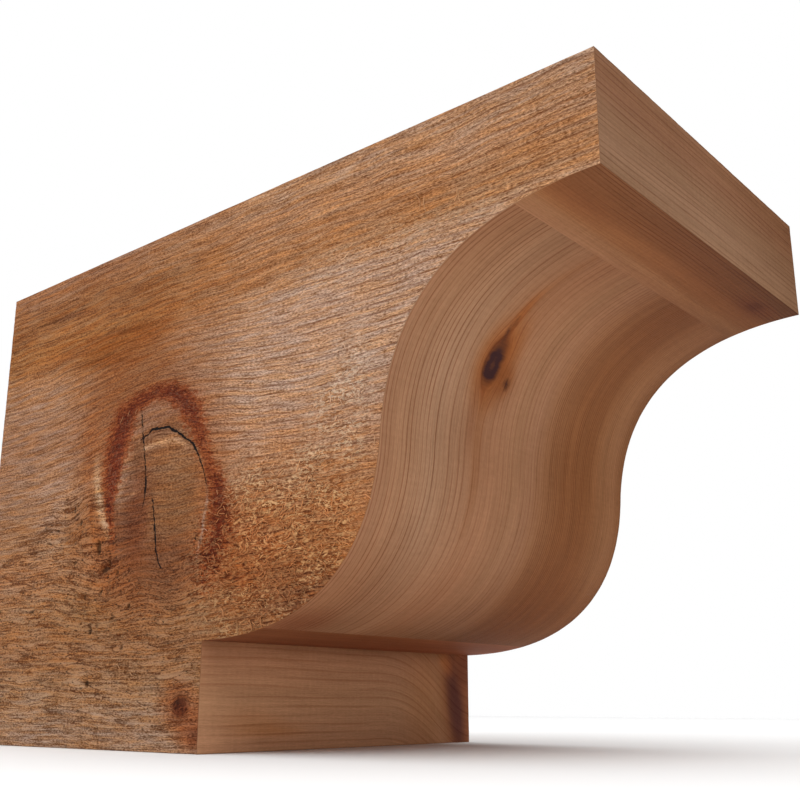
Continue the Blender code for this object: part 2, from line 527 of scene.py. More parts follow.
def timberMesh():
    # two trimmed grids for the cheeks and a band of rows round the outline between them, joined by seams.
    # Each point sinks into the wood by the relief at its place
    rowStops = (low[2], stepZ, noseZ, high[2])
    near = trimmedGrid(
        gridLine((low[0], -76.0, stepX, 4.0, high[0]), meshSizes["nearColumns"]),
        gridLine(rowStops, (meshSizes["nearRows"],) * 3))
    far = trimmedGrid(
        gridLine((low[0], stepX, high[0]), (meshSizes["farColumns"],) * 2),
        gridLine(rowStops, (meshSizes["farRows"],) * 3))
    curveStops = [curveStart + c for c in meshSizes["curveStops"]]
    stations = ringStations(meshSizes["sides"], {"curve": curveStops})
    acrossStops = (low[1] + timber["arris"], *meshSizes["acrossStops"], high[1] - timber["arris"])
    across = gridLine(acrossStops, meshSizes["across"])
    nearCount, farCount = len(near[0]), len(far[0])

    ringX, ringZ = outlineAt(stations)
    nearRise, farRise = cheekDepth(ringX, ringZ), farDepth(ringX, ringZ)
    y = np.tile(across, (len(stations), 1))
    y[:, 0] += nearRise
    y[:, -1] -= farRise
    s = np.repeat(stations[:, None], len(across), 1)
    depth = bandDepth(s, y)
    inX, inZ = inwardAt(stations)
    bandPoints = np.stack([
        ringX[:, None] + inX[:, None] * depth, y, ringZ[:, None] + inZ[:, None] * depth], -1)

    def cheekPoints(flat, place, wall, sign, relief):
        # each point sinks into its cheek, and on the rim into the side that it borders too
        points = np.column_stack([flat[:, 0], wall + sign * relief(flat[:, 0], flat[:, 1]), flat[:, 1]])
        rim = place >= 0
        worn = bandDepth(place[rim], np.full(rim.sum(), wall))
        chips = timber["arrisChips"] * layeredNoise(place[rim] / 2, place[rim] / 7, 61) ** 2
        worn = np.minimum(worn, timber["arrisWear"]) + chips
        inRimX, inRimZ = inwardAt(place[rim])
        points[rim, 0] += inRimX * worn
        points[rim, 2] += inRimZ * worn
        return points

    nearPoints = cheekPoints(near[0], near[3], low[1], 1, cheekDepth)
    farPoints = cheekPoints(far[0], far[3], high[1], -1, farDepth)
    nearRim, farRim = rimOrder(near[3]), rimOrder(far[3])
    band = nearCount + farCount + np.arange(len(stations) * len(across)).reshape(len(stations), len(across))
    loop = np.vstack([band, band[:1]])
    bandQuads = np.stack([loop[:-1, :-1], loop[1:, :-1], loop[1:, 1:], loop[:-1, 1:]], -1).reshape(-1, 4)
    nearSeam = seam(nearRim, near[3][nearRim], band[:, 0], stations)
    farSeam = seam(farRim + nearCount, far[3][farRim], band[:, -1], stations)[:, ::-1]
    ringY = np.tile(across, len(stations))
    return {
        "points": np.vstack([nearPoints, farPoints, bandPoints.reshape(-1, 3)]),
        "flat": np.vstack([near[0], far[0]]),
        "bandY": np.concatenate([np.full(nearCount, low[1]), np.full(farCount, high[1]), ringY]),
        "parts": [("near", near[1]), ("near", near[2]),
                  ("far", far[1][:, ::-1] + nearCount), ("far", far[2][:, ::-1] + nearCount),
                  ("band", bandQuads), ("band", nearSeam), ("band", farSeam)],
        "place": np.concatenate([near[3], far[3], np.repeat(stations, len(across))]),
        "nearCount": nearCount, "farCount": farCount,
        "rims": [nearRim, farRim + nearCount],
    }


shape = timberMesh()
print("timber mesh:", len(shape["points"]), "points,",
      sum(len(f) * (f.shape[1] - 2) for _, f in shape["parts"]), "triangles")


# Grain, colour and marks of each point. Colours are sRGB of 0 to 255 as they look when lit, and each side's
# light divides them, so that under the lamps below they come back to what is written here

def linear(colour):
    # the usual sRGB curve: c / 12.92 below 0.04045, else ((c + 0.055) / 1.055)^2.4
    c = np.asarray(colour, float) / 255
    return np.where(c <= 0.04045, c / 12.92, ((c + 0.055) / 1.055) ** 2.4)


def gradient(value, stops):
    # colour that passes through the stops (value, red, green, blue) in order
    stops = np.array(sorted(stops), float)
    return np.stack([np.interp(value, stops[:, 0], stops[:, n]) for n in (1, 2, 3)], -1)


def follow(value, stops):
    # number that passes through the stops (value, number) in order
    return np.interp(value, *zip(*stops))


def painted(base, strokes, u, v):
    # lays each stroke's colour over what is there, as strongly as its mark covers: an oval (place, half
    # sizes, tilt, soft edge) or a path of points
    colour = base
    for kind, *mark, strength, tone in strokes:
        cover = ovalMark(u, v, *mark) if kind == "oval" else pathMark(u, v, *mark)
        cover = np.clip(strength * cover, 0, 1)[..., None]
        colour = colour * (1 - cover) + np.array(tone, float) * cover
    return colour


cheekPaint = {
    "leftTones": [             # height, then colour, from the underside to the top
        (0, 149, 116, 92), (10, 147, 113, 87), (24, 142, 104, 73), (35, 138, 96, 64), (50, 140, 97, 62),
        (66, 141, 96, 63), (80, 143, 103, 73), (100, 144, 108, 83), (125, 146, 108, 83),
        (150, 154, 115, 87),
        (163, 143, 98, 60), (178, 133, 86, 49), (190, 143, 99, 68), (197, 150, 107, 79)],
    "rightTones": [
        (0, 144, 104, 74), (30, 142, 98, 62), (48, 142, 90, 53), (62, 148, 95, 55), (76, 157, 104, 64),
        (90, 162, 113, 76), (104, 166, 122, 90), (120, 171, 134, 106), (152, 173, 136, 109),
        (160, 168, 126, 93),
        (168, 160, 113, 76), (178, 164, 119, 84), (190, 165, 125, 94), (197, 165, 125, 95)],
    "strokes": [               # kind, place, half sizes, tilt, soft edge or path, then strength and colour
        ("oval", (-66, 158), (70, 11), 2, 0.8, 0.7, (142, 88, 45)),
        ("oval", (-64, 156), (32, 6.5), 5, 0.3, 0.6, (132, 74, 26)),
        ("oval", (-92, 161), (26, 3.4), 2, 0.5, 0.4, (128, 70, 30)),
        ("oval", (-50, 149), (22, 3.0), 8, 0.5, 0.4, (130, 72, 30)),
        ("oval", (-104, 172), (22, 2.4), 2, 0.7, 0.4, (172, 122, 78)),
        ("oval", (-30, 162), (18, 2.4), 3, 0.7, 0.4, (176, 126, 84)),
        ("oval", (-4, 154), (20, 7), 4, 0.6, 0.5, (176, 136, 104)),
        ("oval", (-58, 142), (34, 16), 20, 0.8, 0.7, (140, 83, 42)),
        ("oval", (-30, 152), (34, 9), 12, 0.8, 0.45, (146, 94, 56)),
        ("oval", (-100, 166), (60, 5), 0, 0.8, 0.35, (150, 100, 56)),
        ("oval", (-104, 176), (50, 4), 0, 0.8, 0.3, (132, 92, 64)),
        ("oval", (-36, 172), (60, 5), 0, 0.8, 0.35, (150, 100, 62)),
        ("oval", (70, 165), (62, 4), 0, 0.8, 0.45, (157, 106, 64)),
        ("oval", (134, 170), (28, 6), 0, 0.8, 0.35, (158, 112, 74)),
        ("oval", (112, 181), (40, 3), 0, 0.8, 0.35, (158, 110, 74)),
        ("oval", (10, 184), (60, 3), 0, 0.8, 0.25, (158, 108, 74)),
        ("oval", (-120, 193), (60, 3), 0, 0.8, 0.35, (138, 92, 62)),
        ("oval", (-88, 122), (24, 18), 30, 0.8, 0.35, (155, 116, 90)),
        ("oval", (-72, 116), (20, 27), 0, 0.8, 0.48, (122, 70, 36)),
        ("oval", (-80, 112), (7, 20), 8, 0.8, 0.40, (146, 88, 50)),
        ("oval", (-30, 188), (28, 9), 4, 0.8, 0.50, (166, 122, 86)),
        ("oval", (-8, 170), (26, 8), 6, 0.8, 0.35, (176, 130, 94)),
        ("oval", (52, 44), (27, 13), -10, 0.8, 0.45, (98, 54, 32)),
        ("oval", (68, 66), (20, 14), -10, 0.8, 0.30, (176, 110, 62)),
        ("oval", (-118, 148), (26, 9), 0, 0.8, 0.40, (162, 124, 98)),
        ("oval", (-125, 58), (24, 13), 0, 0.8, 0.22, (162, 126, 102)),
        ("oval", (-108, 100), (16, 12), 0, 0.8, 0.30, (164, 128, 104)),
        ("oval", (-26, 151), (14, 7), 4, 0.8, 0.35, (180, 138, 108)),
        ("oval", (100, 181), (20, 6), 4, 0.8, 0.30, (182, 142, 112)),
        ("oval", (20, 70), (13, 4), -14, 0.8, 0.35, (186, 134, 98)),
        ("path", [(-120.8, 178.7, 0.6, 0.4), (-104, 178.2, 0.9, 0.9),
                  (-86.8, 176.3, 0.6, 0.4)], 0.7, (104, 66, 46)),
        ("path", [(-91.7, 163.9, 0.6, 0.4), (-66, 161.8, 0.9, 0.9),
                  (-38.1, 158.8, 0.7, 0.4)], 0.7, (112, 62, 28)),
        ("path", [(-68.3, 167.8, 0.6, 0.3), (-50, 168.6, 0.8, 0.8),
                  (-30.3, 167.2, 0.6, 0.3)], 0.6, (122, 72, 38)),
        ("path", [(-110, 154.6, 1.2, 0.3), (-90, 153.4, 1.8, 0.9),
                  (-60, 152.6, 1.2, 0.4)], 0.6, (128, 74, 34)),
        ("path", [(-84, 148.6, 0.7, 0.3), (-66, 149.4, 1.0, 0.9),
                  (-48, 147.4, 0.7, 0.3)], 0.6, (112, 62, 28)),
        ("path", [(-126, 168.6, 1.0, 0.3), (-96, 169.2, 1.3, 0.8),
                  (-64, 170.6, 0.9, 0.3)], 0.6, (126, 78, 44)),
        ("path", [(-30.5, 169.7, 0.8, 0.3), (0, 166.8, 1.2, 0.8),
                  (36, 166.4, 0.8, 0.3)], 0.6, (134, 80, 42)),
        ("path", [(-6, 160.1, 0.7, 0.3), (18, 161.8, 1.0, 0.8), (44, 163.4, 0.7, 0.3)], 0.6, (138, 84, 46)),
        ("path", [(52, 174, 0.8, 0.3), (86, 171.8, 1.1, 0.8), (118, 172.4, 0.8, 0.3)], 0.5, (138, 88, 52)),
        ("oval", (-38, 94), (40, 46), -8, 0.3, 0.85, (136, 84, 50)),
        ("oval", (-42, 62), (26, 12), -6, 0.7, 0.8, (118, 72, 42)),
        ("oval", (-62, 74), (13, 16), 30, 0.7, 0.7, (120, 70, 38)),
        ("oval", (8, 66), (20, 13), -20, 0.8, 0.6, (138, 76, 38)),
        ("oval", (24, 68), (24, 14), -14, 0.8, 0.45, (152, 90, 48)),
        ("oval", (-38, 92), (24, 32), -8, 0.25, 0.9, (119, 78, 50)),
        ("oval", (-58, 95), (8, 20), 8, 0.6, 0.55, (131, 96, 74)),
        ("oval", (-48, 121), (14, 7), 20, 0.6, 0.6, (137, 98, 74)),
        ("oval", (-30, 124), (12, 5), 5, 0.6, 0.5, (140, 98, 74)),
        ("oval", (-28, 104), (13, 8), 0, 0.6, 0.4, (140, 98, 66)),
        ("oval", (-26, 84), (13, 20), 0, 0.6, 0.45, (134, 92, 56)),
        ("oval", (-48, 84), (6, 17), 0, 0.7, 0.65, (106, 58, 34)),
        ("oval", (-57, 82), (9, 13), 12, 0.7, 0.55, (96, 52, 29)),
        ("oval", (-28, 66), (20, 9), 0, 0.7, 0.50, (98, 52, 28)),
        ("oval", (-30, 62), (14, 6), 0, 0.7, 0.35, (120, 80, 52)),
        ("oval", (-84, 80), (10, 9), 20, 0.8, 0.5, (121, 73, 40)),
        ("oval", (-70, 88), (4, 15), 14, 0.8, 0.5, (117, 66, 34)),
        ("oval", (-17, 15), (10, 8), -20, 0.7, 0.8, (134, 76, 42)),
        ("oval", (-11, 8), (6, 7), -30, 0.7, 0.7, (132, 74, 42)),
        ("oval", (-17, 15.2), (4.2, 3.4), 0, 0.35, 1.0, (84, 40, 20)),
        ("oval", (-8.6, 5.4), (3.0, 3.6), -30, 0.8, 0.6, (96, 48, 26)),
        ("oval", (40, 130), (50, 30), 0, 0.8, 0.3, (176, 138, 112)),
        ("oval", (-8, 140), (14, 16), 0, 0.8, 0.3, (163, 116, 82)),
        ("path", [(-77.5, 112, 1.8, 0.3), (-76.4, 102, 2.4, 0.9), (-72.6, 90, 2.6, 1.0),
                  (-66.5, 79, 2.2, 0.5)], 0.95, (176, 142, 110)),
        ("path", [(-80.4, 96, 1.6, 0.3), (-78.2, 87, 2.2, 0.9), (-74.6, 77, 2.2, 0.8),
                  (-71, 70, 2.0, 0.3)], 0.75, (132, 76, 38)),
        ("path", [(-56.0, 110, 2.0, 0.3), (-59.6, 100, 2.6, 0.8), (-60.8, 92, 2.6, 0.55),
                  (-57, 85, 2.8, 0.1)], 0.8, (158, 126, 102)),
        ("path", [(-46.4, 110.2, 1.0, 0.8), (-38.5, 111.4, 1.3, 1.0), (-27.5, 110.8, 1.2, 1.0),
                  (-20.5, 107, 1.0, 0.6)], 0.85, (178, 140, 108)),
        ("path", [(-59, 91, 0.8, 0.4), (-51, 93.4, 0.9, 0.7), (-47, 94, 0.8, 0.4)], 0.7, (164, 130, 104)),
        ("path", [(-9.1, 94.7, 0.5, 0.3), (-8, 86, 0.6, 0.8), (-10.2, 76.2, 0.6, 0.9),
                  (-12.4, 65.3, 0.5, 0.4)], 0.6, (150, 128, 118)),
    ],
}


def cheekColour(x, z):
    # tones by height, blended from the left ones to the right ones beside the knot, then the strokes
    wobble = 5 * (layeredNoise(x / 30, z / 9, 71) - 0.5)
    left = gradient(z + wobble, cheekPaint["leftTones"])
    right = gradient(z + wobble, cheekPaint["rightTones"])
    side = softStep(x, -24, 16)[..., None]
    base = left * (1 - side) + right * side
    return painted(base, cheekPaint["strokes"], x, z)


def cheekRust(x, z):
    # cover of the rust-brown ring, with a wide faint edge; the material frays it
    wide = pathMark(x, z, [(px, pz, 1.8 * w, k) for px, pz, w, k in cheek["ringPath"]])
    ring = 0.55 * wide + 0.5 * pathMark(x, z, cheek["ringPath"])
    spurs = np.maximum.reduce([pathMark(x, z, path) for path in cheek["rustSpurs"]])
    return np.clip(np.maximum(ring, spurs), 0, 1)


farPaint = {
    "tones": [
        (0, 143, 103, 74), (40, 148, 106, 74), (90, 160, 118, 86), (140, 168, 128, 98), (165, 156, 110, 72),
        (180, 158, 114, 80), (197, 160, 118, 88)],
    "knot": {"at": (34.0, 128.0), "size": (9.0, 8.0), "grip": 0.9},
    "strokes": [
        ("oval", (34, 128), (17, 13), 8, 0.8, 0.75, (132, 80, 44)),
        ("oval", (34, 128), (9, 8), 8, 0.4, 0.9, (96, 52, 30)),
        ("oval", (34, 128), (5.5, 5), 8, 0.5, 0.8, (120, 78, 52)),
    ],
}

# Places on the curve are (c, y), c being the way down it from the nose's foot. Between headEnd and
# footStart its grain runs down it, elsewhere across it. Places on the step are (y, z)
bandPaint = {
    "headEnd": 28.7, "footStart": 196.6,
    "backTone": (150, 108, 76),
    "roofTones": [             # y, then colour, for the top and the underside
        (-76, 158, 116, 82), (-30, 152, 108, 74), (10, 160, 118, 86), (50, 148, 102, 68),
        (80, 156, 112, 80)],
    "noseTones": [             # height above the nose's foot
        (0, 139, 104, 78), (8, 136, 101, 76), (18, 131, 95, 69), (27, 129, 88, 62), (37, 127, 86, 58)],
    "noseLift": [(-76, 2), (-60, 1), (0, 4), (76, -10)],
    "curveTones": [            # y, then colour, from the near edge to the far one
        (-76, 152, 110, 82), (-68, 154, 113, 84), (-50, 155, 118, 91), (-20, 152, 108, 79),
        (-4, 150, 108, 79),
        (9, 148, 106, 78), (21, 136, 92, 61), (32, 127, 81, 49), (48, 125, 79, 47), (60, 134, 91, 60),
        (70, 135, 92, 62), (76, 118, 76, 47)],
    "curveShade": [            # c, then how much of each colour is left
        (28.7, 0.89, 0.84, 0.79), (60, 0.97, 0.95, 0.92), (90, 1.0, 1.0, 1.0), (147, 0.98, 0.97, 0.96),
        (172, 0.92, 0.88, 0.84), (196.6, 0.81, 0.77, 0.72)],
    "curveStrokes": [
        ("oval", (75, -27), (24, 8), 0, 0.8, 0.35, (139, 88, 54)),
        ("oval", (110, -26), (26, 2.5), 0, 0.8, 0.45, (132, 84, 52)),
        ("oval", (58, -29), (16, 1.4), 0, 0.8, 0.35, (132, 84, 52)),
        ("oval", (79, -26.6), (13.5, 8.4), 0, 0.75, 0.85, (142, 78, 33)),
        ("oval", (61, -28.6), (9, 1.8), 0, 0.8, 0.75, (146, 82, 38)),
        ("oval", (84.5, -18.5), (5, 4.4), 0, 0.7, 0.6, (128, 72, 34)),
        ("oval", (79, -27.8), (8.6, 4.8), 0, 0.5, 0.75, (100, 52, 27)),
        ("oval", (101, -31), (13, 2.2), 0, 0.8, 0.4, (120, 74, 48)),
        ("oval", (42, -27), (17, 1.6), 0, 0.8, 0.4, (132, 84, 52)),
        # painted shade: the next two strokes darken the curve low down, on its far and on its near side
        ("oval", (170, 42), (28, 26), 0, 0.8, 0.5, (112, 65, 34)),
        ("oval", (176, -60), (26, 16), 0, 0.8, 0.30, (104, 62, 38)),
        ("oval", (191, -66), (10, 13), 0, 0.8, 0.50, (96, 50, 30)),
        ("oval", (180, 56), (20, 22), 0, 0.8, 0.35, (112, 62, 28)),
        ("oval", (86, -21), (8, 9), 0, 0.8, 0.3, (108, 60, 32)),
        ("oval", (70, -2), (70, 4), 0, 0.8, 0.25, (152, 112, 80)),
        ("oval", (20, 60), (40, 20), 0, 0.8, 0.3, (124, 80, 52)),
    ],
    "knot": {"at": (80.1, -27.0), "size": (9.0, 5.0), "grip": 0.55},
    "knotCore": [              # ovals of the dark knot and short dark dashes: place, half sizes, offset
        ((80.4, -27.8), (6.8, 4.1), 0.0), ((68.6, -28.9), (5.5, 0.9), 0.5), ((85.7, -16.6), (1.3, 1.1),
        0.0),
        ((141.0, -60.0), (6.0, 0.5), 1.3), ((137.0, -53.3), (5.0, 0.5), 1.3), ((146.6, -43.9), (2.6, 0.5),
        1.2),
        ((159.6, -60.2), (2.6, 0.5), 1.1)],
    "headTones": [             # c, then colour
        (0, 115, 73, 46), (9, 119, 74, 45), (15, 131, 83, 50), (20, 137, 88, 54), (23.5, 147, 102, 70),
        (28.6, 143, 99, 70)],
    "headShade": [             # y, then how much of each colour is left
        (-76, 1.02, 1.02, 1.02), (-40, 1.0, 1.0, 1.0), (0, 0.95, 0.92, 0.89), (30, 0.87, 0.81, 0.73),
        (76, 0.80, 0.74, 0.66)],
    "headStrokes": [
        ("oval", (9.8, 57), (4.4, 12), 0, 0.8, 0.75, (94, 48, 25)),
        ("oval", (9.4, 56), (2.0, 4.4), 0, 0.7, 0.6, (72, 35, 20)),
        ("oval", (15, -60), (4, 20), 0, 0.8, 0.4, (112, 64, 38)),
    ],
    "footTones": [(196.6, 102, 58, 34), (212, 98, 55, 33), (226.6, 95, 53, 32)],
    "footShade": [(-76, 0.95), (-50, 1.0), (-15, 1.10), (15, 1.19)],
    "stepTones": [(0, 133, 96, 71), (18, 129, 94, 68), (32, 121, 84, 60), (37, 104, 68, 46)],
    "stepShade": [(-76, 1.0), (-40, 1.01), (40, 0.91), (60, 0.83)],
    "stepStrokes": [
        ("oval", (-46, 8), (16, 2.0), -2, 0.8, 0.5, (122, 74, 38)),
        ("oval", (-48, 12), (12, 1.2), -2, 0.8, 0.4, (122, 74, 38)),
        ("oval", (71, 20), (13, 32), 4, 0.5, 0.85, (84, 46, 27)),
        ("oval", (66, 16), (5.0, 17), 10, 0.6, 0.9, (52, 27, 24)),
        ("oval", (73, 30), (5, 9), -20, 0.6, 0.6, (70, 36, 24)),
        ("oval", (60, 33), (5, 3), -40, 0.8, 0.5, (128, 74, 36)),
        ("oval", (48, 16), (14, 20), 0, 0.8, 0.3, (112, 68, 34)),
    ],
    "lineSpacing": [           # y, then the distance between growth lines across the curve
        (-76.2, 1.9), (-50, 2.1), (-40, 2.8), (-4, 3.0), (10, 2.0), (18, 1.25), (50, 1.2), (76.2, 1.5)],
    # how strongly the growth lines show: on each side, down the curve by y, and at its head by c
    "sideLines": {"back": 0.7, "top": 0.7, "nose": 0.66, "curve": 0.25, "step": 0.42, "underside": 0.7},
    "curveLines": [
        (-76, 0.72), (-52, 0.9), (-40, 0.60), (-10, 0.40), (14, 0.55), (22, 0.9), (44, 0.85), (54, 0.55),
        (76, 0.45)],
    "headLines": [(0, 0.95), (12, 0.75), (16, 0.15), (28.6, 0.12)],
}
# added to the height across the grain, so that no two sides share their noise
grainOffsets = {
    "back": 300, "top": 400, "underside": 500, "nose": 600, "curve": 700, "head": 800, "foot": 900,
    "step": 1000, "far": 1300,
}


def lineStrength(s, y):
    # one number on each side; down the curve it follows y, and at its head c
    side, c = sideOf(s), s - curveStart
    strength = np.array([bandPaint["sideLines"][name] for name in sideNames])[side]
    onCurve = (side == curveSide) & (c < bandPaint["footStart"])
    strength = np.where(onCurve, follow(y, bandPaint["curveLines"]), strength)
    return np.where(onCurve & (c <= bandPaint["headEnd"]), follow(c, bandPaint["headLines"]), strength)


def growthLines(y):
    # running number of the growth line at y: the sum of 1/spacing from the near edge
    steps = np.linspace(low[1] - 4, high[1] + 4, 1200)
    total = np.concatenate([[0], np.cumsum(np.diff(steps) / follow(steps, bandPaint["lineSpacing"])[1:])])
    return np.interp(y, steps, total)


def bandMarks(s, y):
    # for points of the band: grain (along, across, line number), colour as lit, distance to the knot's core
    side = sideOf(s)
    x, z = outlineAt(s)
    c = s - curveStart
    on = {name: side == number for number, name in enumerate(sideNames)}
    on["head"] = on["curve"] & (c <= bandPaint["headEnd"])
    on["foot"] = on["curve"] & (c >= bandPaint["footStart"])
    on["curve"] = on["curve"] & ~on["head"] & ~on["foot"]
    grain = np.zeros(s.shape + (3,))
    tone = np.zeros(s.shape + (3,))
    core = np.full(s.shape, 50.0)

    def put(name, along, across, lines, colour):
        where = on[name]
        grain[where] = np.stack([along, across + grainOffsets[name], lines], -1)[where]
        tone[where] = colour[where]

    # the back cut, the top and the underside
    wave = 1.2 * (smoothNoise(x / 60, y / 30, 81) - 0.5)
    put("back", z, y, np.zeros(s.shape), np.broadcast_to(bandPaint["backTone"], tone.shape))
    roofTones = gradient(y + 6 * smoothNoise(x / 70, y / 9, 83), bandPaint["roofTones"])
    put("top", x, y + wave, growthNumber(x, y, y + wave), roofTones)
    put("underside", x, y + wave, growthNumber(x, y, y + wave + 90), roofTones * 0.97)

    # the nose, with level grain
    rise = z - noseZ
    level = rise + 1.4 * (smoothNoise(y / 60, rise / 20 + 7, 85) - 0.5)
    put("nose", y, level, level / 1.9 + 1.6 * smoothNoise(y / 160, level / 9, 86),
        gradient(rise, bandPaint["noseTones"]) + follow(y, bandPaint["noseLift"])[..., None])

    # the curve: lines run down it, except at its head and foot, where they run across
    bent = bend(c, y, bandPaint["knot"]) + 1.5 * (smoothNoise(c / 80, y / 26, 87) - 0.5)
    tones = gradient(y + 4 * (smoothNoise(c / 45, y / 20, 88) - 0.5), bandPaint["curveTones"])
    tones = tones * gradient(c, bandPaint["curveShade"])
    put("curve", c, bent, growthLines(bent), painted(tones, bandPaint["curveStrokes"], c, y))
    core[on["curve"]] = ovalDistance(c, y, bandPaint["knotCore"])[on["curve"]]
    cross = c + 1.2 * (smoothNoise(y / 50, c / 12, 89) - 0.5)
    tones = gradient(c, bandPaint["headTones"]) * gradient(y, bandPaint["headShade"])
    put("head", y, cross, cross / 1.4 + 0.5, painted(tones, bandPaint["headStrokes"], c, y))
    tones = gradient(c, bandPaint["footTones"]) * follow(y, bandPaint["footShade"])[..., None]
    put("foot", y, cross, cross / 4.0, tones)

    # the step, with a dark knot at its far end where the grain turns down
    lift = z + 26 * softStep(y, 6, 78) ** 2 + 1.0 * (smoothNoise(y / 50, z / 12, 91) - 0.5)
    tones = gradient(z, bandPaint["stepTones"]) * follow(y, bandPaint["stepShade"])[..., None]
    put("step", y, lift, lift / 3.2, painted(tones, bandPaint["stepStrokes"], y, z))
    return grain, tone, core


# how brightly the lamps light each side. The curve turns away from them, and its foot shades the step
sideLight = {"near": 0.82, "far": 0.82, "back": 0.90, "top": 0.82, "nose": 0.93, "underside": 0.82}
curveLight = [(0, 0.97), (10, 0.97), (60, 0.90), (120, 0.79), (170, 0.79), (205, 0.62), (226.6, 0.52)]
stepLight = [(-76.2, 0.47), (76.2, 0.38)]


def bandLight(s, y):
    # each side's own light; on the curve it follows the way down, on the step the way across
    side = sideOf(s)
    light = np.array([sideLight.get(name, 1.0) for name in sideNames])[side]
    light = np.where(side == curveSide, follow(s - curveStart, curveLight), light)
    return np.where(side == stepSide, follow(y, stepLight), light)


def pointMarks():
    # every attribute of the timber's points: near cheek first, then the far one, then the band. The tint is
    # the linear colour divided by the light that falls there
    nearCount, farCount = shape["nearCount"], shape["farCount"]
    points = shape["points"]
    total = len(points)
    grain, tint, wear = np.zeros((total, 3)), np.zeros((total, 3)), np.zeros((total, 3))
    core, rust, lines = np.full(total, 50.0), np.zeros(total), np.full(total, 0.7)
    flake, flakePlace = np.zeros((total, 3)), np.zeros((total, 3))
    flake[:, 0] = -9.0
    crackAcross, crackHalf = np.full((total, 3), 50.0), np.zeros((total, 3))

    x, z = points[:nearCount, 0], points[:nearCount, 2]
    along, across = cheekGrain(x, z)
    knot = inKnot(x, z)
    grain[:nearCount] = np.column_stack([along, across, growthNumber(x, z, across)])
    tint[:nearCount] = linear(cheekColour(x, z)) / sideLight["near"]
    wear[:nearCount] = np.column_stack([tornShare(x, z), fuzzShare(x, z), knot])
    crackAcross[:nearCount], crackHalf[:nearCount] = cheekCracks(x, z)
    rust[:nearCount] = cheekRust(x, z)
    # core of the near cheek: distance to the pits, which the sawn material darkens with painted shade
    tilt = cheek["pitTilt"]
    core[:nearCount] = ovalDistance(
        *turned(x, z, tilt), [(turned(px, pz, tilt), size, 0.0) for px, pz, *size, _ in cheek["pits"]])
    lines[:nearCount] = cheekLines(x, z)
    inside, apart, place, level, tone = lensField(along, across, lenses)
    flake[:nearCount] = np.column_stack([inside, apart, tone])
    flakePlace[:nearCount, :2] = np.column_stack([place, level])

    far = slice(nearCount, nearCount + farCount)
    x, z = points[far, 0], points[far, 2]
    wave = 2.0 * (smoothNoise(x / 60, z / 40, 95) - 0.5)
    place, size = farPaint["knot"]["at"], farPaint["knot"]["size"]
    within = ovalMark(x, z, place, size, 0, 0.3)
    across = bend(x, z, farPaint["knot"]) + 0.6 * (z - place[1]) * within + wave + grainOffsets["far"]
    rings = 3.4 * np.maximum(1 - np.hypot((x - place[0]) / size[0], (z - place[1]) / size[1]), 0)
    grain[far] = np.column_stack([x, across, growthNumber(x, z, across) + rings])
    farTones = gradient(z + 6 * layeredNoise(x / 40, z / 9, 97), farPaint["tones"])
    tint[far] = linear(painted(farTones, farPaint["strokes"], x, z)) / sideLight["far"]

    band = slice(nearCount + farCount, total)
    s, y = shape["place"][band], points[band, 1]
    bandGrain, tone, bandCore = bandMarks(s, y)
    grain[band], tint[band], core[band] = bandGrain, linear(tone) / bandLight(s, y)[:, None], bandCore
    lines[band] = lineStrength(s, y)
    vectors = {"grain": grain, "wear": wear, "flake": flake, "flakePlace": flakePlace,
               "crackAcross": crackAcross, "crackHalf": crackHalf}
    return vectors, {"core": core, "rust": rust, "lines": lines}, tint


# Materials

def startMaterial(name):
    # An empty material and two helpers. The first adds a node: it takes the node's kind, its input sockets
    # by name or number (a value, or the socket to link), the output to give and the node's own settings.
    # The second closes the material with its colour, the gloss of its look and bumps of the height given
    material = bpy.data.materials.new(name)
    material.use_nodes = True
    tree = material.node_tree
    shader = tree.nodes["Principled BSDF"]

    def node(kind, inputs, output=0, **settings):
        added = tree.nodes.new("ShaderNode" + kind)
        for key, value in settings.items():
            setattr(added, key, value)
        for key, value in inputs.items():
            if isinstance(value, bpy.types.NodeSocket):
                tree.links.new(value, added.inputs[key])
            else:
                added.inputs[key].default_value = value
        return added.outputs[output]

    def finish(colour, look, height=None):
        tree.links.new(colour, shader.inputs["Base Color"])
        shader.inputs["Roughness"].default_value = look["roughness"]
        shader.inputs["Specular IOR Level"].default_value = look["sheen"]
        if height is not None:
            distance = look["relief"] * millimetre
            bumps = node("Bump", {"Height": height, "Distance": distance, "Strength": 1.0})
            tree.links.new(bumps, shader.inputs["Normal"])
        return material

    return node, finish


def product(node, a, b):
    # a * b
    return node("Math", {0: a, 1: b}, operation="MULTIPLY")


def larger(node, a, b):
    # the larger of a and b
    return node("Math", {0: a, 1: b}, operation="MAXIMUM")


def numberOf(node, name):
    # the number that an attribute holds
    return node("Attribute", {}, 2, attribute_name=name)


def partsOf(node, name):
    # the three parts of a vector attribute
    return list(node("SeparateXYZ", {0: node("Attribute", {}, 1, attribute_name=name)}).node.outputs)


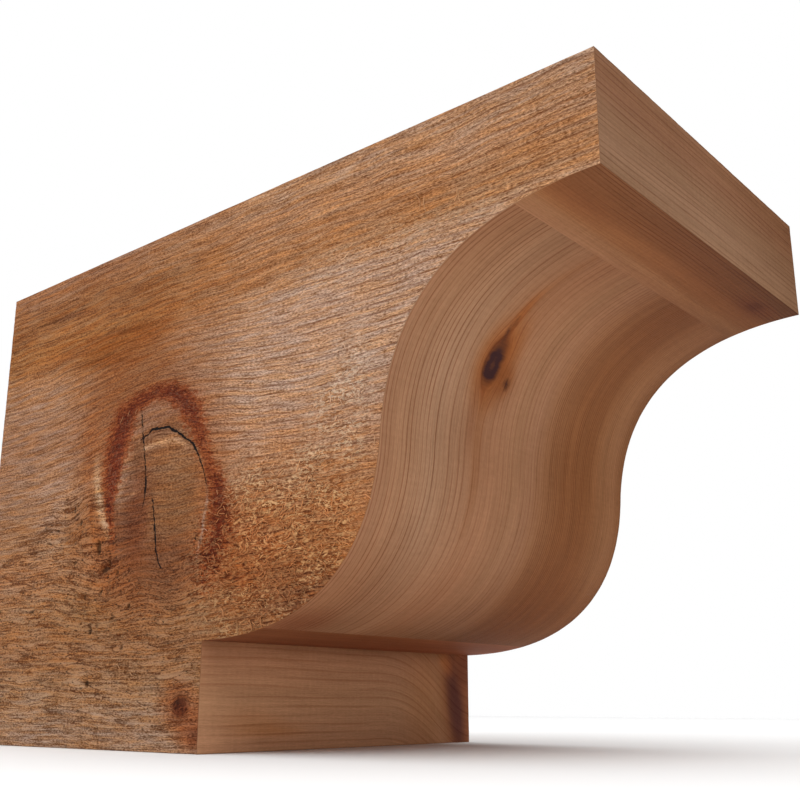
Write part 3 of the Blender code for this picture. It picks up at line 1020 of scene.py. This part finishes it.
def woodTools(node, look):
    # what all the wood materials share: grain coordinates, painted tint, the look's noises, small helpers
    grain = node("Attribute", {}, 1, attribute_name="grain")
    tint = node("Attribute", {}, 0, attribute_name="tint")

    def noise(alongScale, acrossScale, seed, detail=2.0, roughness=0.55):
        # noise in grain coordinates, stretched along the grain; centred on 0
        place = node("VectorMath", {0: grain, 1: (alongScale, acrossScale, 0.0), 2: (0.0, 0.0, seed)},
                     operation="MULTIPLY_ADD")
        value = node("TexNoise", {"Vector": place, "Scale": 1.0, "Detail": detail, "Roughness": roughness})
        return node("Math", {0: value, 1: 0.5}, operation="SUBTRACT")

    def weighted(terms):
        # sum of value * weight
        total = 0.0
        for value, weight in terms:
            total = node("Math", {0: value, 1: weight, 2: total}, operation="MULTIPLY_ADD")
        return total

    def ramp(value, start, end, low=0.0, high=1.0):
        # smoothstep from low at start to high at end
        ends = {"From Min": start, "From Max": end, "To Min": low, "To Max": high}
        return node("MapRange", {"Value": value, **ends}, interpolation_type="SMOOTHSTEP")

    def mix(factor, a, b):
        # a * (1 - factor) + b * factor
        return node("Mix", {0: factor, 6: a, 7: b}, 2, data_type="RGBA")

    def toned(colour, by):
        # each part of the colour times its own factor
        return node("VectorMath", {0: colour, 1: by}, operation="MULTIPLY")

    field = {name: noise(*facts) for name, facts in look["noises"].items()}
    return grain, tint, field, weighted, ramp, mix, toned


sawn = {
    "noises": {                # scale along and across the grain, seed, detail, roughness
        "fine": (0.13, 1.9, 1.0, 2.0, 0.6), "long": (0.030, 0.85, 2.0, 3.0, 0.6),
        "broad": (0.014, 0.24, 3.0, 2.0, 0.5), "grit": (0.8, 2.3, 4.0, 2.0, 0.7),
        "pitSpots": (0.45, 1.0, 7.0, 1.0), "pitEdge": (0.5, 1.1, 7.5, 2.0),
        "hue": (0.05, 0.55, 8.0, 2.0), "golden": (0.035, 0.42, 9.0, 3.0, 0.6),
        "hatch": (1.3, 0.25, 10.0, 1.0), "crackEdge": (0.5, 0.5, 11.0, 2.0, 0.7),
        "lineGaps": (0.06, 0.35, 12.0, 2.0), "lineEdge": (0.22, 0.7, 12.5, 2.0, 0.6),
        "rustEdge": (0.30, 0.8, 14.0, 3.0, 0.7), "rustSpots": (0.8, 1.2, 15.0, 3.0, 0.7),
        "fuzzShade": (0.20, 1.3, 16.0, 2.0, 0.6), "fuzzPatches": (0.055, 0.11, 17.0, 2.0),
        "flakeEdge": (0.35, 0.9, 24.0, 2.0),
        "longCurls": (0.30, 0.75, 31.0, 1.0), "longCurlGaps": (0.35, 0.7, 32.0, 1.0),
        "shortCurls": (0.6, 1.0, 33.0, 1.0), "shortCurlGaps": (0.35, 0.7, 34.0, 1.0),
    },
    "fine": 1.35, "long": 0.40, "faintLong": 1.5, "broad": 0.15, "grit": 2.2, "contrast": 1.25,
    "dark": (0.40, 0.28, 0.18), "light": (1.56, 1.69, 1.82),
    "line": (0.40, 0.23, 0.14), "lineStrength": 0.62,
    "amber": (1.06, 0.92, 0.72), "pink": (0.97, 1.03, 1.14),
    "plain": (1.0, 1.01, 1.03), "golden": (1.03, 0.90, 0.68),
    # painted shade: the gap tone darkens the flakes' rims and the wood between the loose fibres
    "gap": (0.28, 0.14, 0.07), "rimCover": 0.85, "shadeCover": 0.9,
    "curl": (2.10, 3.00, 3.80),
    "hatch": (0.55, 0.5, 0.45), "hatchCover": 0.3,
    # painted shade: the pit tone fills the pits and the flakes' left tips
    "pitTone": (0.036, 0.015, 0.007, 1.0), "pitCover": 0.8,
    "rustEdge": (0.270, 0.060, 0.013, 1.0), "rustEdgeCover": 0.88,
    "rust": (0.120, 0.015, 0.004, 1.0), "rustCover": 0.90,
    # painted shade: the crack tone fills the cracks
    "crackTone": (0.012, 0.008, 0.007, 1.0),
    "roughness": 0.88, "sheen": 0.12, "relief": 0.5,
}


def sawnCedar():
    # fine streaks and grit move the colour between a darker and a lighter tone of the painted tint, and thin
    # growth lines run over them. Torn grain has dark edges and pits of painted shade, and curly fibres cover
    # the fuzzy part
    node, finish = startMaterial("sawn_cedar")
    grain, tint, field, weighted, ramp, mix, toned = woodTools(node, sawn)
    torn, fuzz, knot = partsOf(node, "wear")
    core, lines, rust = (numberOf(node, name) for name in ("core", "lines", "rust"))
    faint = node("Math", {0: 1.0, 1: lines}, operation="SUBTRACT")
    streaks = weighted([*((field[name], sawn[name]) for name in ("fine", "long", "broad", "grit")),
                        (product(node, field["long"], faint), sawn["faintLong"])])

    # torn grain: flakes with rims and tips dark with painted shade, and pits dark with painted shade
    rim, shelf, tip, bed = flakeMarks(node, field, weighted, ramp)
    tornWell = ramp(torn, 0.1, 0.6)
    rim, shelf, tip = (product(node, mark, tornWell) for mark in (rim, shelf, tip))
    pitEdge = weighted([(field["pitEdge"], 1.6), (core, 1.0)])
    specks = product(node, ramp(field["pitSpots"], 0.165, 0.21), tornWell)
    pit = larger(node, specks, ramp(pitEdge, 0.35, -0.45))
    hole = larger(node, tip, pit)

    # tone of the wood: amber and pink streaks, golden patches where the lines are faint, and rust
    hue = ramp(weighted([(field["hue"], 1.0), (shelf, 0.08)]), -0.17, 0.17)
    base = toned(tint, mix(hue, (*sawn["amber"], 1.0), (*sawn["pink"], 1.0)))
    golden = product(node, ramp(field["golden"], -0.10, 0.14), faint)
    base = mix(golden, toned(base, sawn["plain"]), toned(base, sawn["golden"]))
    frayed = weighted([(field["rustEdge"], 1.5), (rust, 1.0)])
    base = mix(product(node, ramp(frayed, 0.22, 0.55), sawn["rustEdgeCover"]), base, sawn["rustEdge"])
    mottled = weighted([(field["rustSpots"], 2.0), (frayed, 1.0)])
    base = mix(product(node, ramp(mottled, 0.45, 0.95), sawn["rustCover"]), base, sawn["rust"])
    place = weighted([(streaks, sawn["contrast"]), (product(node, streaks, torn), 0.7), (shelf, 0.46),
                      (torn, 0.06)])
    place = node("Math", {0: place, 1: 0.52}, operation="ADD", use_clamp=True)
    colour = mix(place, toned(base, sawn["dark"]), toned(base, sawn["light"]))

    # growth lines: each darkens slowly and ends sharply. They break off in places and fade in torn grain
    jagged = weighted([(field["lineEdge"], 0.22), (node("SeparateXYZ", {0: grain}, 2), 1.0)])
    part = node("Math", {0: jagged}, operation="FRACT")
    late = product(node, ramp(part, 0.68, 0.88), ramp(part, 1.0, 0.94))
    late = product(node, late, ramp(field["lineGaps"], -0.16, 0.10, 0.15, 1.0))
    faded = weighted([(torn, 0.7), (fuzz, 0.15), (knot, 0.5)])
    calm = node("Math", {0: 1.0, 1: faded}, operation="SUBTRACT", use_clamp=True)
    late = product(node, product(node, late, calm), lines)
    colour = mix(product(node, late, sawn["lineStrength"]), colour, toned(base, sawn["line"]))
    # painted shade on the flakes' rims, then in their tips and in the pits
    colour = mix(product(node, rim, sawn["rimCover"]), colour, toned(base, sawn["gap"]))
    colour = mix(product(node, hole, sawn["pitCover"]), colour, sawn["pitTone"])

    # loose fibres with painted shade between them, cross marks on the knot's face, and the cracks, dark with
    # painted shade
    patchy = ramp(field["fuzzPatches"], -0.09, 0.08, 0.34, 1.0)
    shade = product(node, ramp(field["fuzzShade"], 0.02, 0.15), fuzz)
    colour = mix(product(node, shade, sawn["shadeCover"]), colour, toned(tint, sawn["gap"]))
    curls = product(node, curlCover(node, field, ramp), patchy)
    bare = node("Math", {0: rust, 1: -0.85, 2: 1.0}, operation="MULTIPLY_ADD")
    strands = product(node, curls, weighted([(product(node, fuzz, bare), 1.0), (torn, 0.2), (rust, 0.10)]))
    colour = mix(strands, colour, toned(tint, sawn["curl"]))
    hatch = product(node, ramp(field["hatch"], 0.06, 0.18), knot)
    colour = mix(product(node, hatch, sawn["hatchCover"]), colour, toned(tint, sawn["hatch"]))
    # painted shade in the cracks
    crack = crackCover(node, field, ramp)
    colour = mix(crack, colour, sawn["crackTone"])
    height = weighted([(streaks, 0.9), (late, -0.5), (product(node, bed, torn), -0.7), (shelf, 0.5),
                       (hole, -1.2), (strands, 0.8), (shade, -0.6), (crack, -1.5)])
    return finish(colour, sawn, height)


def flakeMarks(node, field, weighted, ramp):
    # from the flake attributes: the rim of painted shade on a flake's lower left side, its tone, its left
    # tip, dark with painted shade, and how far it is sunk. A little noise makes its edge ragged
    inside, apart, tone = partsOf(node, "flake")
    along, across, _ = partsOf(node, "flakePlace")
    ragged = weighted([(field["flakeEdge"], 1.1), (inside, 1.0)])
    within = ramp(ragged, -0.10, 0.10)
    outer = product(node, within, ramp(ragged, 0.55, 0.15))
    between = product(node, ramp(apart, 0.30, 0.05), within)
    lee = ramp(weighted([(along, -0.4), (across, -1.0)]), 0.0, 0.6, 0.05, 1.0)
    rim = product(node, larger(node, outer, between), lee)
    tip = product(node, product(node, within, ramp(along, -0.72, -0.90)), ramp(tone, 0.1, 0.5))
    shelf = product(node, within, tone)
    return rim, shelf, tip, within


def curlCover(node, field, ramp):
    # loose curly fibres: thin lines where a noise passes through 0, broken into short pieces by another
    total = 0.0
    for curls, gaps in (("longCurls", "longCurlGaps"), ("shortCurls", "shortCurlGaps")):
        value = node("Math", {0: field[curls]}, operation="ABSOLUTE")
        line = product(node, ramp(value, 0.085, 0.035), ramp(field[gaps], 0.00, 0.07))
        total = larger(node, line, total)
    return total


def crackCover(node, field, ramp):
    # where painted shade fills the nearest of three cracks: distance across it, a little jagged, less its
    # half width
    jag = product(node, field["crackEdge"], 1.5)
    nearest = 9.0
    for across, half in zip(partsOf(node, "crackAcross"), partsOf(node, "crackHalf")):
        shifted = node("Math", {0: across, 1: jag}, operation="ADD")
        distance = node("Math", {0: shifted}, operation="ABSOLUTE")
        inside = node("Math", {0: distance, 1: half}, operation="SUBTRACT")
        nearest = node("Math", {0: inside, 1: nearest}, operation="MINIMUM")
    return ramp(nearest, 0.26, 0.06)


smooth = {
    "noises": {
        "wander": (0.010, 0.12, 11.0, 2.0), "lineGaps": (0.02, 0.30, 12.0, 1.0),
        "fine": (0.05, 1.6, 13.0, 3.0, 0.65), "broad": (0.008, 0.16, 14.0, 2.0),
        "cross": (0.7, 0.10, 15.0, 2.0), "pores": (0.5, 2.8, 16.0, 1.0),
        "knotEdge": (0.35, 0.9, 17.0, 3.0, 0.7),
    },
    "fine": 0.9, "broad": 0.7, "cross": 0.25, "pores": 0.5, "contrast": 0.8,
    "line": (0.62, 0.42, 0.33), "between": (1.06, 1.07, 1.07),
    "dark": (0.62, 0.56, 0.50), "light": (1.42, 1.48, 1.52),
    "knotRim": (0.105, 0.034, 0.014, 1.0), "knotHeart": (0.040, 0.015, 0.017, 1.0),
    "knotPith": (0.120, 0.042, 0.020, 1.0),
    "roughness": 0.62, "sheen": 0.06, "relief": 0.12,
}


def planedCedar():
    # growth lines from the line number: pale early wood darkens slowly to each line and starts again
    node, finish = startMaterial("planed_cedar")
    grain, tint, field, weighted, ramp, mix, toned = woodTools(node, smooth)
    lineNumber = node("SeparateXYZ", {0: grain}, 2)
    number = node("Math", {0: field["wander"], 1: 0.9, 2: lineNumber}, operation="MULTIPLY_ADD")
    part = node("Math", {0: number}, operation="FRACT")
    late = product(node, ramp(part, 0.60, 0.88), ramp(part, 1.0, 0.92))
    late = product(node, late, ramp(field["lineGaps"], -0.16, 0.12, 0.25, 1.0))
    late = product(node, late, numberOf(node, "lines"))
    streaks = weighted([(field[name], smooth[name]) for name in ("fine", "broad", "cross", "pores")])
    level = node("Math", {0: streaks, 1: smooth["contrast"], 2: 0.5}, operation="MULTIPLY_ADD",
                 use_clamp=True)
    colour = mix(level, toned(tint, smooth["dark"]), toned(tint, smooth["light"]))
    colour = mix(late, toned(colour, smooth["between"]), toned(colour, smooth["line"]))
    ragged = weighted([(field["knotEdge"], 3.2), (numberOf(node, "core"), 1.0)])
    colour = mix(product(node, ramp(ragged, 1.6, -0.5), 0.85), colour, smooth["knotRim"])
    colour = mix(product(node, ramp(ragged, 0.0, -1.3), 0.9), colour, smooth["knotHeart"])
    colour = mix(product(node, ramp(ragged, -2.4, -3.5), 0.6), colour, smooth["knotPith"])
    height = weighted([(field["fine"], 1.0), (field["pores"], 0.6), (late, 0.5), (field["cross"], 0.4)])
    return finish(colour, smooth, height)


endWood = {
    "noises": {"wander": (0.008, 0.008, 21.0, 3.0), "saw": (0.9, 0.03, 22.0, 2.0),
               "grit": (1.2, 1.2, 23.0, 3.0, 0.65)},
    "saw": 0.9, "grit": 1.3,
    "heart": (-70.0, -18.0), "ring": 3.4,
    "dark": (0.5, 0.45, 0.4), "light": (1.45, 1.5, 1.5), "line": (0.5, 0.38, 0.3), "lineStrength": 0.6,
    "roughness": 0.9, "sheen": 0.2, "relief": 0.3,
}


def endGrain():
    # growth rings round the tree's heart, which lies below the block, under faint saw marks: the ring's
    # number is the distance from the heart over the width of a ring
    node, finish = startMaterial("end_grain")
    grain, tint, field, weighted, ramp, mix, toned = woodTools(node, endWood)
    up, across = endWood["heart"]
    heart = (up, grainOffsets["back"] + across, 0.0)
    apart = node("VectorMath", {0: grain, 1: heart}, operation="SUBTRACT")
    flat = toned(apart, (1.0, 1.0, 0.0))
    radius = node("VectorMath", {0: flat}, 1, operation="LENGTH")
    number = node("Math", {0: radius, 1: 1 / endWood["ring"], 2: product(node, field["wander"], 3.5)},
                  operation="MULTIPLY_ADD")
    part = node("Math", {0: number}, operation="FRACT")
    late = product(node, ramp(part, 0.45, 0.88), ramp(part, 1.0, 0.93))
    streaks = weighted([(field[name], endWood[name]) for name in ("saw", "grit")])
    level = node("Math", {0: streaks, 1: 0.5}, operation="ADD", use_clamp=True)
    colour = mix(level, toned(tint, endWood["dark"]), toned(tint, endWood["light"]))
    colour = mix(product(node, late, endWood["lineStrength"]), colour, toned(tint, endWood["line"]))
    return finish(colour, endWood, weighted([(field["saw"], 1.0), (field["grit"], 0.6), (late, 0.3)]))


# The timber as one closed mesh

def addPiece(name, points, faces, materials):
    # a smooth-shaded object at the origin, from points in millimetres, on the root body and with the
    # materials given
    mesh = bpy.data.meshes.new(name)
    mesh.from_pydata((points * millimetre).tolist(), [], faces)
    for material in materials:
        mesh.materials.append(material)
    mesh.polygons.foreach_set("use_smooth", np.ones(len(faces), bool))
    piece = bpy.data.objects.new(name, mesh)
    bpy.context.scene.collection.objects.link(piece)
    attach(piece, "root")
    return piece


def setAttribute(mesh, name, kind, field, values):
    # one value for each point of the mesh
    attribute = mesh.attributes.new(name, kind, "POINT")
    attribute.data.foreach_set(field, np.ascontiguousarray(values, np.float32).ravel())


def setTint(mesh, tint):
    # the colour attribute, with 1 for its cover
    setAttribute(mesh, "tint", "FLOAT_COLOR", "color", np.column_stack([tint, np.ones(len(tint))]))


def markSharp(mesh):
    # an edge is sharp where it lies on a rim of a cheek or along a corner between two sides of the band
    total = len(shape["points"])
    onNear, onFar, onCorner = np.zeros(total, bool), np.zeros(total, bool), np.zeros(total, bool)
    onNear[shape["rims"][0]] = True
    onFar[shape["rims"][1]] = True
    gap = np.min(np.abs(shape["place"][:, None] - sideStarts), axis=1)
    onCorner[(gap < 0.001) & (shape["place"] >= 0)] = True
    ends = np.empty(len(mesh.edges) * 2, np.int32)
    mesh.edges.foreach_get("vertices", ends)
    a, b = ends.reshape(-1, 2).T
    sharp = (onNear[a] & onNear[b]) | (onFar[a] & onFar[b]) | (onCorner[a] & onCorner[b])
    attribute = mesh.attributes.new("sharp_edge", "BOOLEAN", "EDGE")
    attribute.data.foreach_set("value", sharp)


def facePlaces(block):
    # places round the outline of the corners of the band's faces, and the side that each face is on. Past
    # the last corner the places start again at 0, so a face there has the whole length added to its zeros
    places = shape["place"][block]
    past = (places.max(1) - places.min(1) > around[-1] / 2)[:, None] & (places < around[-1] / 2)
    places = np.where(past, places + around[-1], places)
    return places, sideOf((places.max(1) + places.min(1)) / 2)


# where each part lies in the texture: size of a millimetre there, and the lower left corner
bakeParts = {
    "near": (0.00289, 0.005, 0.005), "far": (0.00113, 0.645, 0.585), "back": (0.00130, 0.687, 0.006),
    "top": (0.00113, 0.645, 0.815), "planed": (0.00210, 0.005, 0.585), "underside": (0.00069, 0.892, 0.300),
}


def bakePlace(part, u, v):
    # lower left corner + size * place
    size, left, bottom = bakeParts[part]
    return np.stack([left + size * u, bottom + size * v], -1)


def bakeCorners():
    # texture place of every face corner: cheeks as seen from outside, and the band unrolled in four parts
    corners = []
    for part, block in shape["parts"]:
        if part == "band":
            s, side = facePlaces(block)
            y = shape["bandY"][block] - low[1]
            own = np.stack([
                bakePlace("back", high[1] - low[1] - y, s),
                bakePlace("top", s - sideStarts[1], y),
                *[bakePlace("planed", s - sideStarts[2], y)] * 3,
                bakePlace("underside", s - sideStarts[5], y)])
            corners.append(own[side, np.arange(len(block))])
        else:
            x, z = np.moveaxis(shape["flat"][block], -1, 0)
            corners.append(bakePlace(part, x - low[0] if part == "near" else high[0] - x, z - low[2]))
    return np.concatenate([own.reshape(-1, 2) for own in corners])


def timberPiece():
    # the mesh with its materials, texture places and attributes
    faces, slots = [], []
    bandSlots = np.array([2, 0, 1, 1, 1, 0])   # of each side: 0 sawn, 1 planed, 2 end grain
    for part, block in shape["parts"]:
        faces += block.tolist()
        slots.append(bandSlots[facePlaces(block)[1]] if part == "band" else np.zeros(len(block), int))
    piece = addPiece("cedar_timber", shape["points"], faces, [sawnCedar(), planedCedar(), endGrain()])
    mesh = piece.data
    mesh.polygons.foreach_set("material_index", np.concatenate(slots).astype(np.int32))
    mesh.uv_layers.new(name="OFBake").data.foreach_set("uv", bakeCorners().ravel())
    vectors, numbers, tint = pointMarks()
    for name, values in vectors.items():
        setAttribute(mesh, name, "FLOAT_VECTOR", "vector", values)
    for name, values in numbers.items():
        setAttribute(mesh, name, "FLOAT", "value", values)
    setTint(mesh, tint)
    markSharp(mesh)
    mesh.update()
    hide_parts("rafter_tail")
    return piece


# Loose fibres: thin three-sided tubes that curl over the near cheek, pointed at both ends

loose = {
    "seed": 8, "count": 520, "tornCount": 60,
    "length": (1.6, 4.6), "radius": (0.13, 0.20), "lift": (0.15, 0.60), "curl": 57 * 1.9,
    "segments": 6,
    "fuzzySpread": 34, "tornSpread": 16, "jitter": 14,   # degrees
    "paler": 1.45, "cast": (1.0, 1.12, 1.22), "palest": 0.85,
    "roughness": 0.8, "sheen": 0.15,
    "hairs": [                 # x, z, length, angle in degrees, whole bend in degrees
        (88.6, 166.0, 7.5, 82, 30), (91.0, 164.2, 6.5, 100, -35), (104.2, 163.2, 7.0, 84, 40),
        (101.8, 164.6, 5.0, 40, 70), (-4.2, 176.4, 8.0, -72, 28), (-2.6, 173.6, 5.0, -52, -30),
        (114.4, 173.5, 4.5, 70, 60), (126.1, 165.8, 4.0, 60, -60), (42.2, 88.4, 7.5, -112, 12),
        (33.0, 83.0, 6.0, -100, -16), (16.0, 73.2, 7.0, 12, 22), (19.5, 74.4, 5.0, 4, -40),
        (52.2, 75.2, 5.0, 50, 90),
        (61.5, 75.0, 4.6, 120, -90), (39.8, 49.0, 5.6, 20, 50), (24.4, 40.4, 5.2, 160, 60),
        (-58.6, 124.6, 3.0, 62, 10), (-63.4, 122.6, 3.6, 55, 14), (-53.8, 124.8, 2.6, 70, -10)],
}


def fibrePaths():
    # where each fibre starts, its length, its angle and how far it bends from end to end: random ones where
    # the wood is fuzzy or torn, and the hairs of the list
    draw = np.random.default_rng(loose["seed"])
    x, z = draw.uniform(-110, 74, 9000), draw.uniform(6, 176, 9000)
    inside = (x < stepX - 3) | (z > curveHeight(x) + 2.5)
    fuzzy = inside & (draw.random(9000) < fuzzShare(x, z))
    rough = inside & ~fuzzy & (draw.random(9000) < tornShare(x, z)) & (fuzzShare(x, z) < 0.1)
    chosen = np.concatenate([
        np.flatnonzero(fuzzy)[:loose["count"]], np.flatnonzero(rough)[:loose["tornCount"]]])
    number = len(chosen)
    spread = np.where(fuzzy[chosen], loose["fuzzySpread"], loose["tornSpread"])
    scattered = np.column_stack([
        x[chosen], z[chosen], draw.uniform(*loose["length"], number),
        -4 + spread * draw.standard_normal(number), loose["curl"] * draw.standard_normal(number) * 0.6])
    return np.vstack([scattered, loose["hairs"]]), draw


def fibrePiece():
    # each fibre walks on by length / segments at a heading that turns evenly with a little jitter, and its
    # lift off the wood is a half wave
    paths, draw = fibrePaths()
    number, segments = len(paths), loose["segments"]
    share = np.linspace(0, 1, segments + 1)
    x0, z0, length, angle, turn = paths.T[..., None]
    jitter = loose["jitter"] * draw.standard_normal((number, segments))
    heading = np.radians(angle + turn * share[:-1] + jitter)
    step = length / segments
    x = x0 + np.column_stack([np.zeros(number), np.cumsum(step * np.cos(heading), 1)])
    z = z0 + np.column_stack([np.zeros(number), np.cumsum(step * np.sin(heading), 1)])
    radius = draw.uniform(*loose["radius"], (number, 1))
    lift = draw.uniform(*loose["lift"], (number, 1)) * np.sin(math.pi * (0.08 + 0.84 * share))
    y = np.maximum(low[1] + radius + 0.03, low[1] + cheekDepth(x, z) - lift)
    spine = np.stack([x, y, z], -1)

    # each inner point of the spine gets a ring of three points, square to the fibre's way in the cheek
    alongX, alongZ = np.gradient(x, axis=1), np.gradient(z, axis=1)
    size = np.hypot(alongX, alongZ)
    side = np.stack([-alongZ / size, np.zeros_like(size), alongX / size], -1)
    out = np.array([0.0, -1.0, 0.0])
    turns = 2 * math.pi * np.arange(3) / 3
    inner = slice(1, segments)
    rings = spine[:, inner, None] + radius[:, :, None, None] * (
        np.cos(turns)[:, None] * out + np.sin(turns)[:, None] * side[:, inner, None])
    ringCount = 3 * (segments - 1)
    points = np.concatenate([spine[:, :1], rings.reshape(number, ringCount, 3), spine[:, -1:]], 1)
    last = ringCount + 1
    faces = []
    for n in range(3):
        a, b = 1 + n, 1 + (n + 1) % 3
        faces.append((0, a, b))
        faces.append((last, b + ringCount - 3, a + ringCount - 3))
    quads = [(1 + n + 3 * k, 1 + n + 3 * (k + 1), 1 + (n + 1) % 3 + 3 * (k + 1), 1 + (n + 1) % 3 + 3 * k)
             for k in range(segments - 2) for n in range(3)]
    start = np.arange(number)[:, None, None] * (last + 1)
    allFaces = (start + np.array(faces)).reshape(-1, 3).tolist()
    allFaces += (start + np.array(quads)).reshape(-1, 4).tolist()
    piece = addPiece("loose_fibres", points.reshape(-1, 3), allFaces, [fibreWood()])
    tone = linear(cheekColour(x0, z0)[:, 0]) / sideLight["near"] * loose["paler"]
    tone = tone * draw.uniform(0.75, 1.25, (number, 1))
    setTint(piece.data, np.repeat(np.minimum(tone * loose["cast"], loose["palest"]), last + 1, 0))
    print("loose fibres:", number, "fibres,", len(allFaces), "faces")
    return piece


def fibreWood():
    # plain wood in the tint of each fibre
    node, finish = startMaterial("fibre_wood")
    return finish(node("Attribute", {}, 0, attribute_name="tint"), loose)


timberPiece()
print("timber: colours, grain and materials set")
fibrePiece()


# Floor, lights and camera

studio = {
    "floorSize": 1.7, "floorTone": 0.9,
    "sky": 0.15,
    "lamps": {                 # place, size, power
        "key": ((-0.55, -1.15, 0.55), 0.9, 7.4),
        "side": ((1.2, -0.35, 0.14), 0.5, 2.6),
        "overhead": ((0.0, 0.0, 1.6), 3.0, 54.0),
    },
}
camera = {
    "at": (0.2764, -0.3093, 0.0165),
    "turn": (105.0, 0.0, 40.0),
    "lens": 46.96,
    "shiftUp": 0.02925,
}


def addFloor():
    # a plain pale square under the object, for the picture alone
    half = studio["floorSize"] / 2
    mesh = bpy.data.meshes.new("floor")
    corners = [(-half, -half, 0), (half, -half, 0), (half, half, 0), (-half, half, 0)]
    mesh.from_pydata(corners, [], [(0, 1, 2, 3)])
    material = bpy.data.materials.new("floor")
    material.use_nodes = True
    shader = material.node_tree.nodes["Principled BSDF"]
    shader.inputs["Base Color"].default_value = (studio["floorTone"],) * 3 + (1.0,)
    shader.inputs["Roughness"].default_value = 1.0
    shader.inputs["Specular IOR Level"].default_value = 0.0
    mesh.materials.append(material)
    floor = bpy.data.objects.new("floor", mesh)
    bpy.context.scene.collection.objects.link(floor)


def addLamp(name, at, size, power, target=(0.0, 0.0, 0.1)):
    # a square soft lamp that faces the target
    lamp = bpy.data.lights.new(name, "AREA")
    lamp.shape = "SQUARE"
    lamp.size = size
    lamp.energy = power
    rig = bpy.data.objects.new(name, lamp)
    rig.location = at
    rig.rotation_euler = (Vector(target) - Vector(at)).to_track_quat("-Z", "Y").to_euler()
    bpy.context.scene.collection.objects.link(rig)


def addSky():
    # white behind the object, and dimmer as a light
    world = bpy.data.worlds.new("studio")
    world.use_nodes = True
    nodes, links = world.node_tree.nodes, world.node_tree.links
    nodes.clear()
    path = nodes.new("ShaderNodeLightPath")
    seen, light = nodes.new("ShaderNodeBackground"), nodes.new("ShaderNodeBackground")
    seen.inputs["Strength"].default_value = 1.0
    light.inputs["Strength"].default_value = studio["sky"]
    for background in (seen, light):
        background.inputs["Color"].default_value = (1.0, 1.0, 1.0, 1.0)
    choice = nodes.new("ShaderNodeMixShader")
    out = nodes.new("ShaderNodeOutputWorld")
    links.new(path.outputs["Is Camera Ray"], choice.inputs[0])
    links.new(light.outputs[0], choice.inputs[1])
    links.new(seen.outputs[0], choice.inputs[2])
    links.new(choice.outputs[0], out.inputs["Surface"])
    bpy.context.scene.world = world


def addCamera():
    # stands where the photo was taken from, with everything in focus
    lens = bpy.data.cameras.new("camera")
    lens.lens = camera["lens"]
    lens.sensor_width = 36.0
    lens.shift_y = camera["shiftUp"]
    lens.clip_start = 0.01
    rig = bpy.data.objects.new("camera", lens)
    rig.location = camera["at"]
    rig.rotation_euler = [math.radians(angle) for angle in camera["turn"]]
    bpy.context.scene.collection.objects.link(rig)
    bpy.context.scene.camera = rig


addFloor()
for name, facts in studio["lamps"].items():
    addLamp(name, *facts)
addSky()
addCamera()
bpy.context.scene.view_settings.view_transform = "Standard"
print("studio: floor, lights and camera set")

bpy.context.view_layer.update()
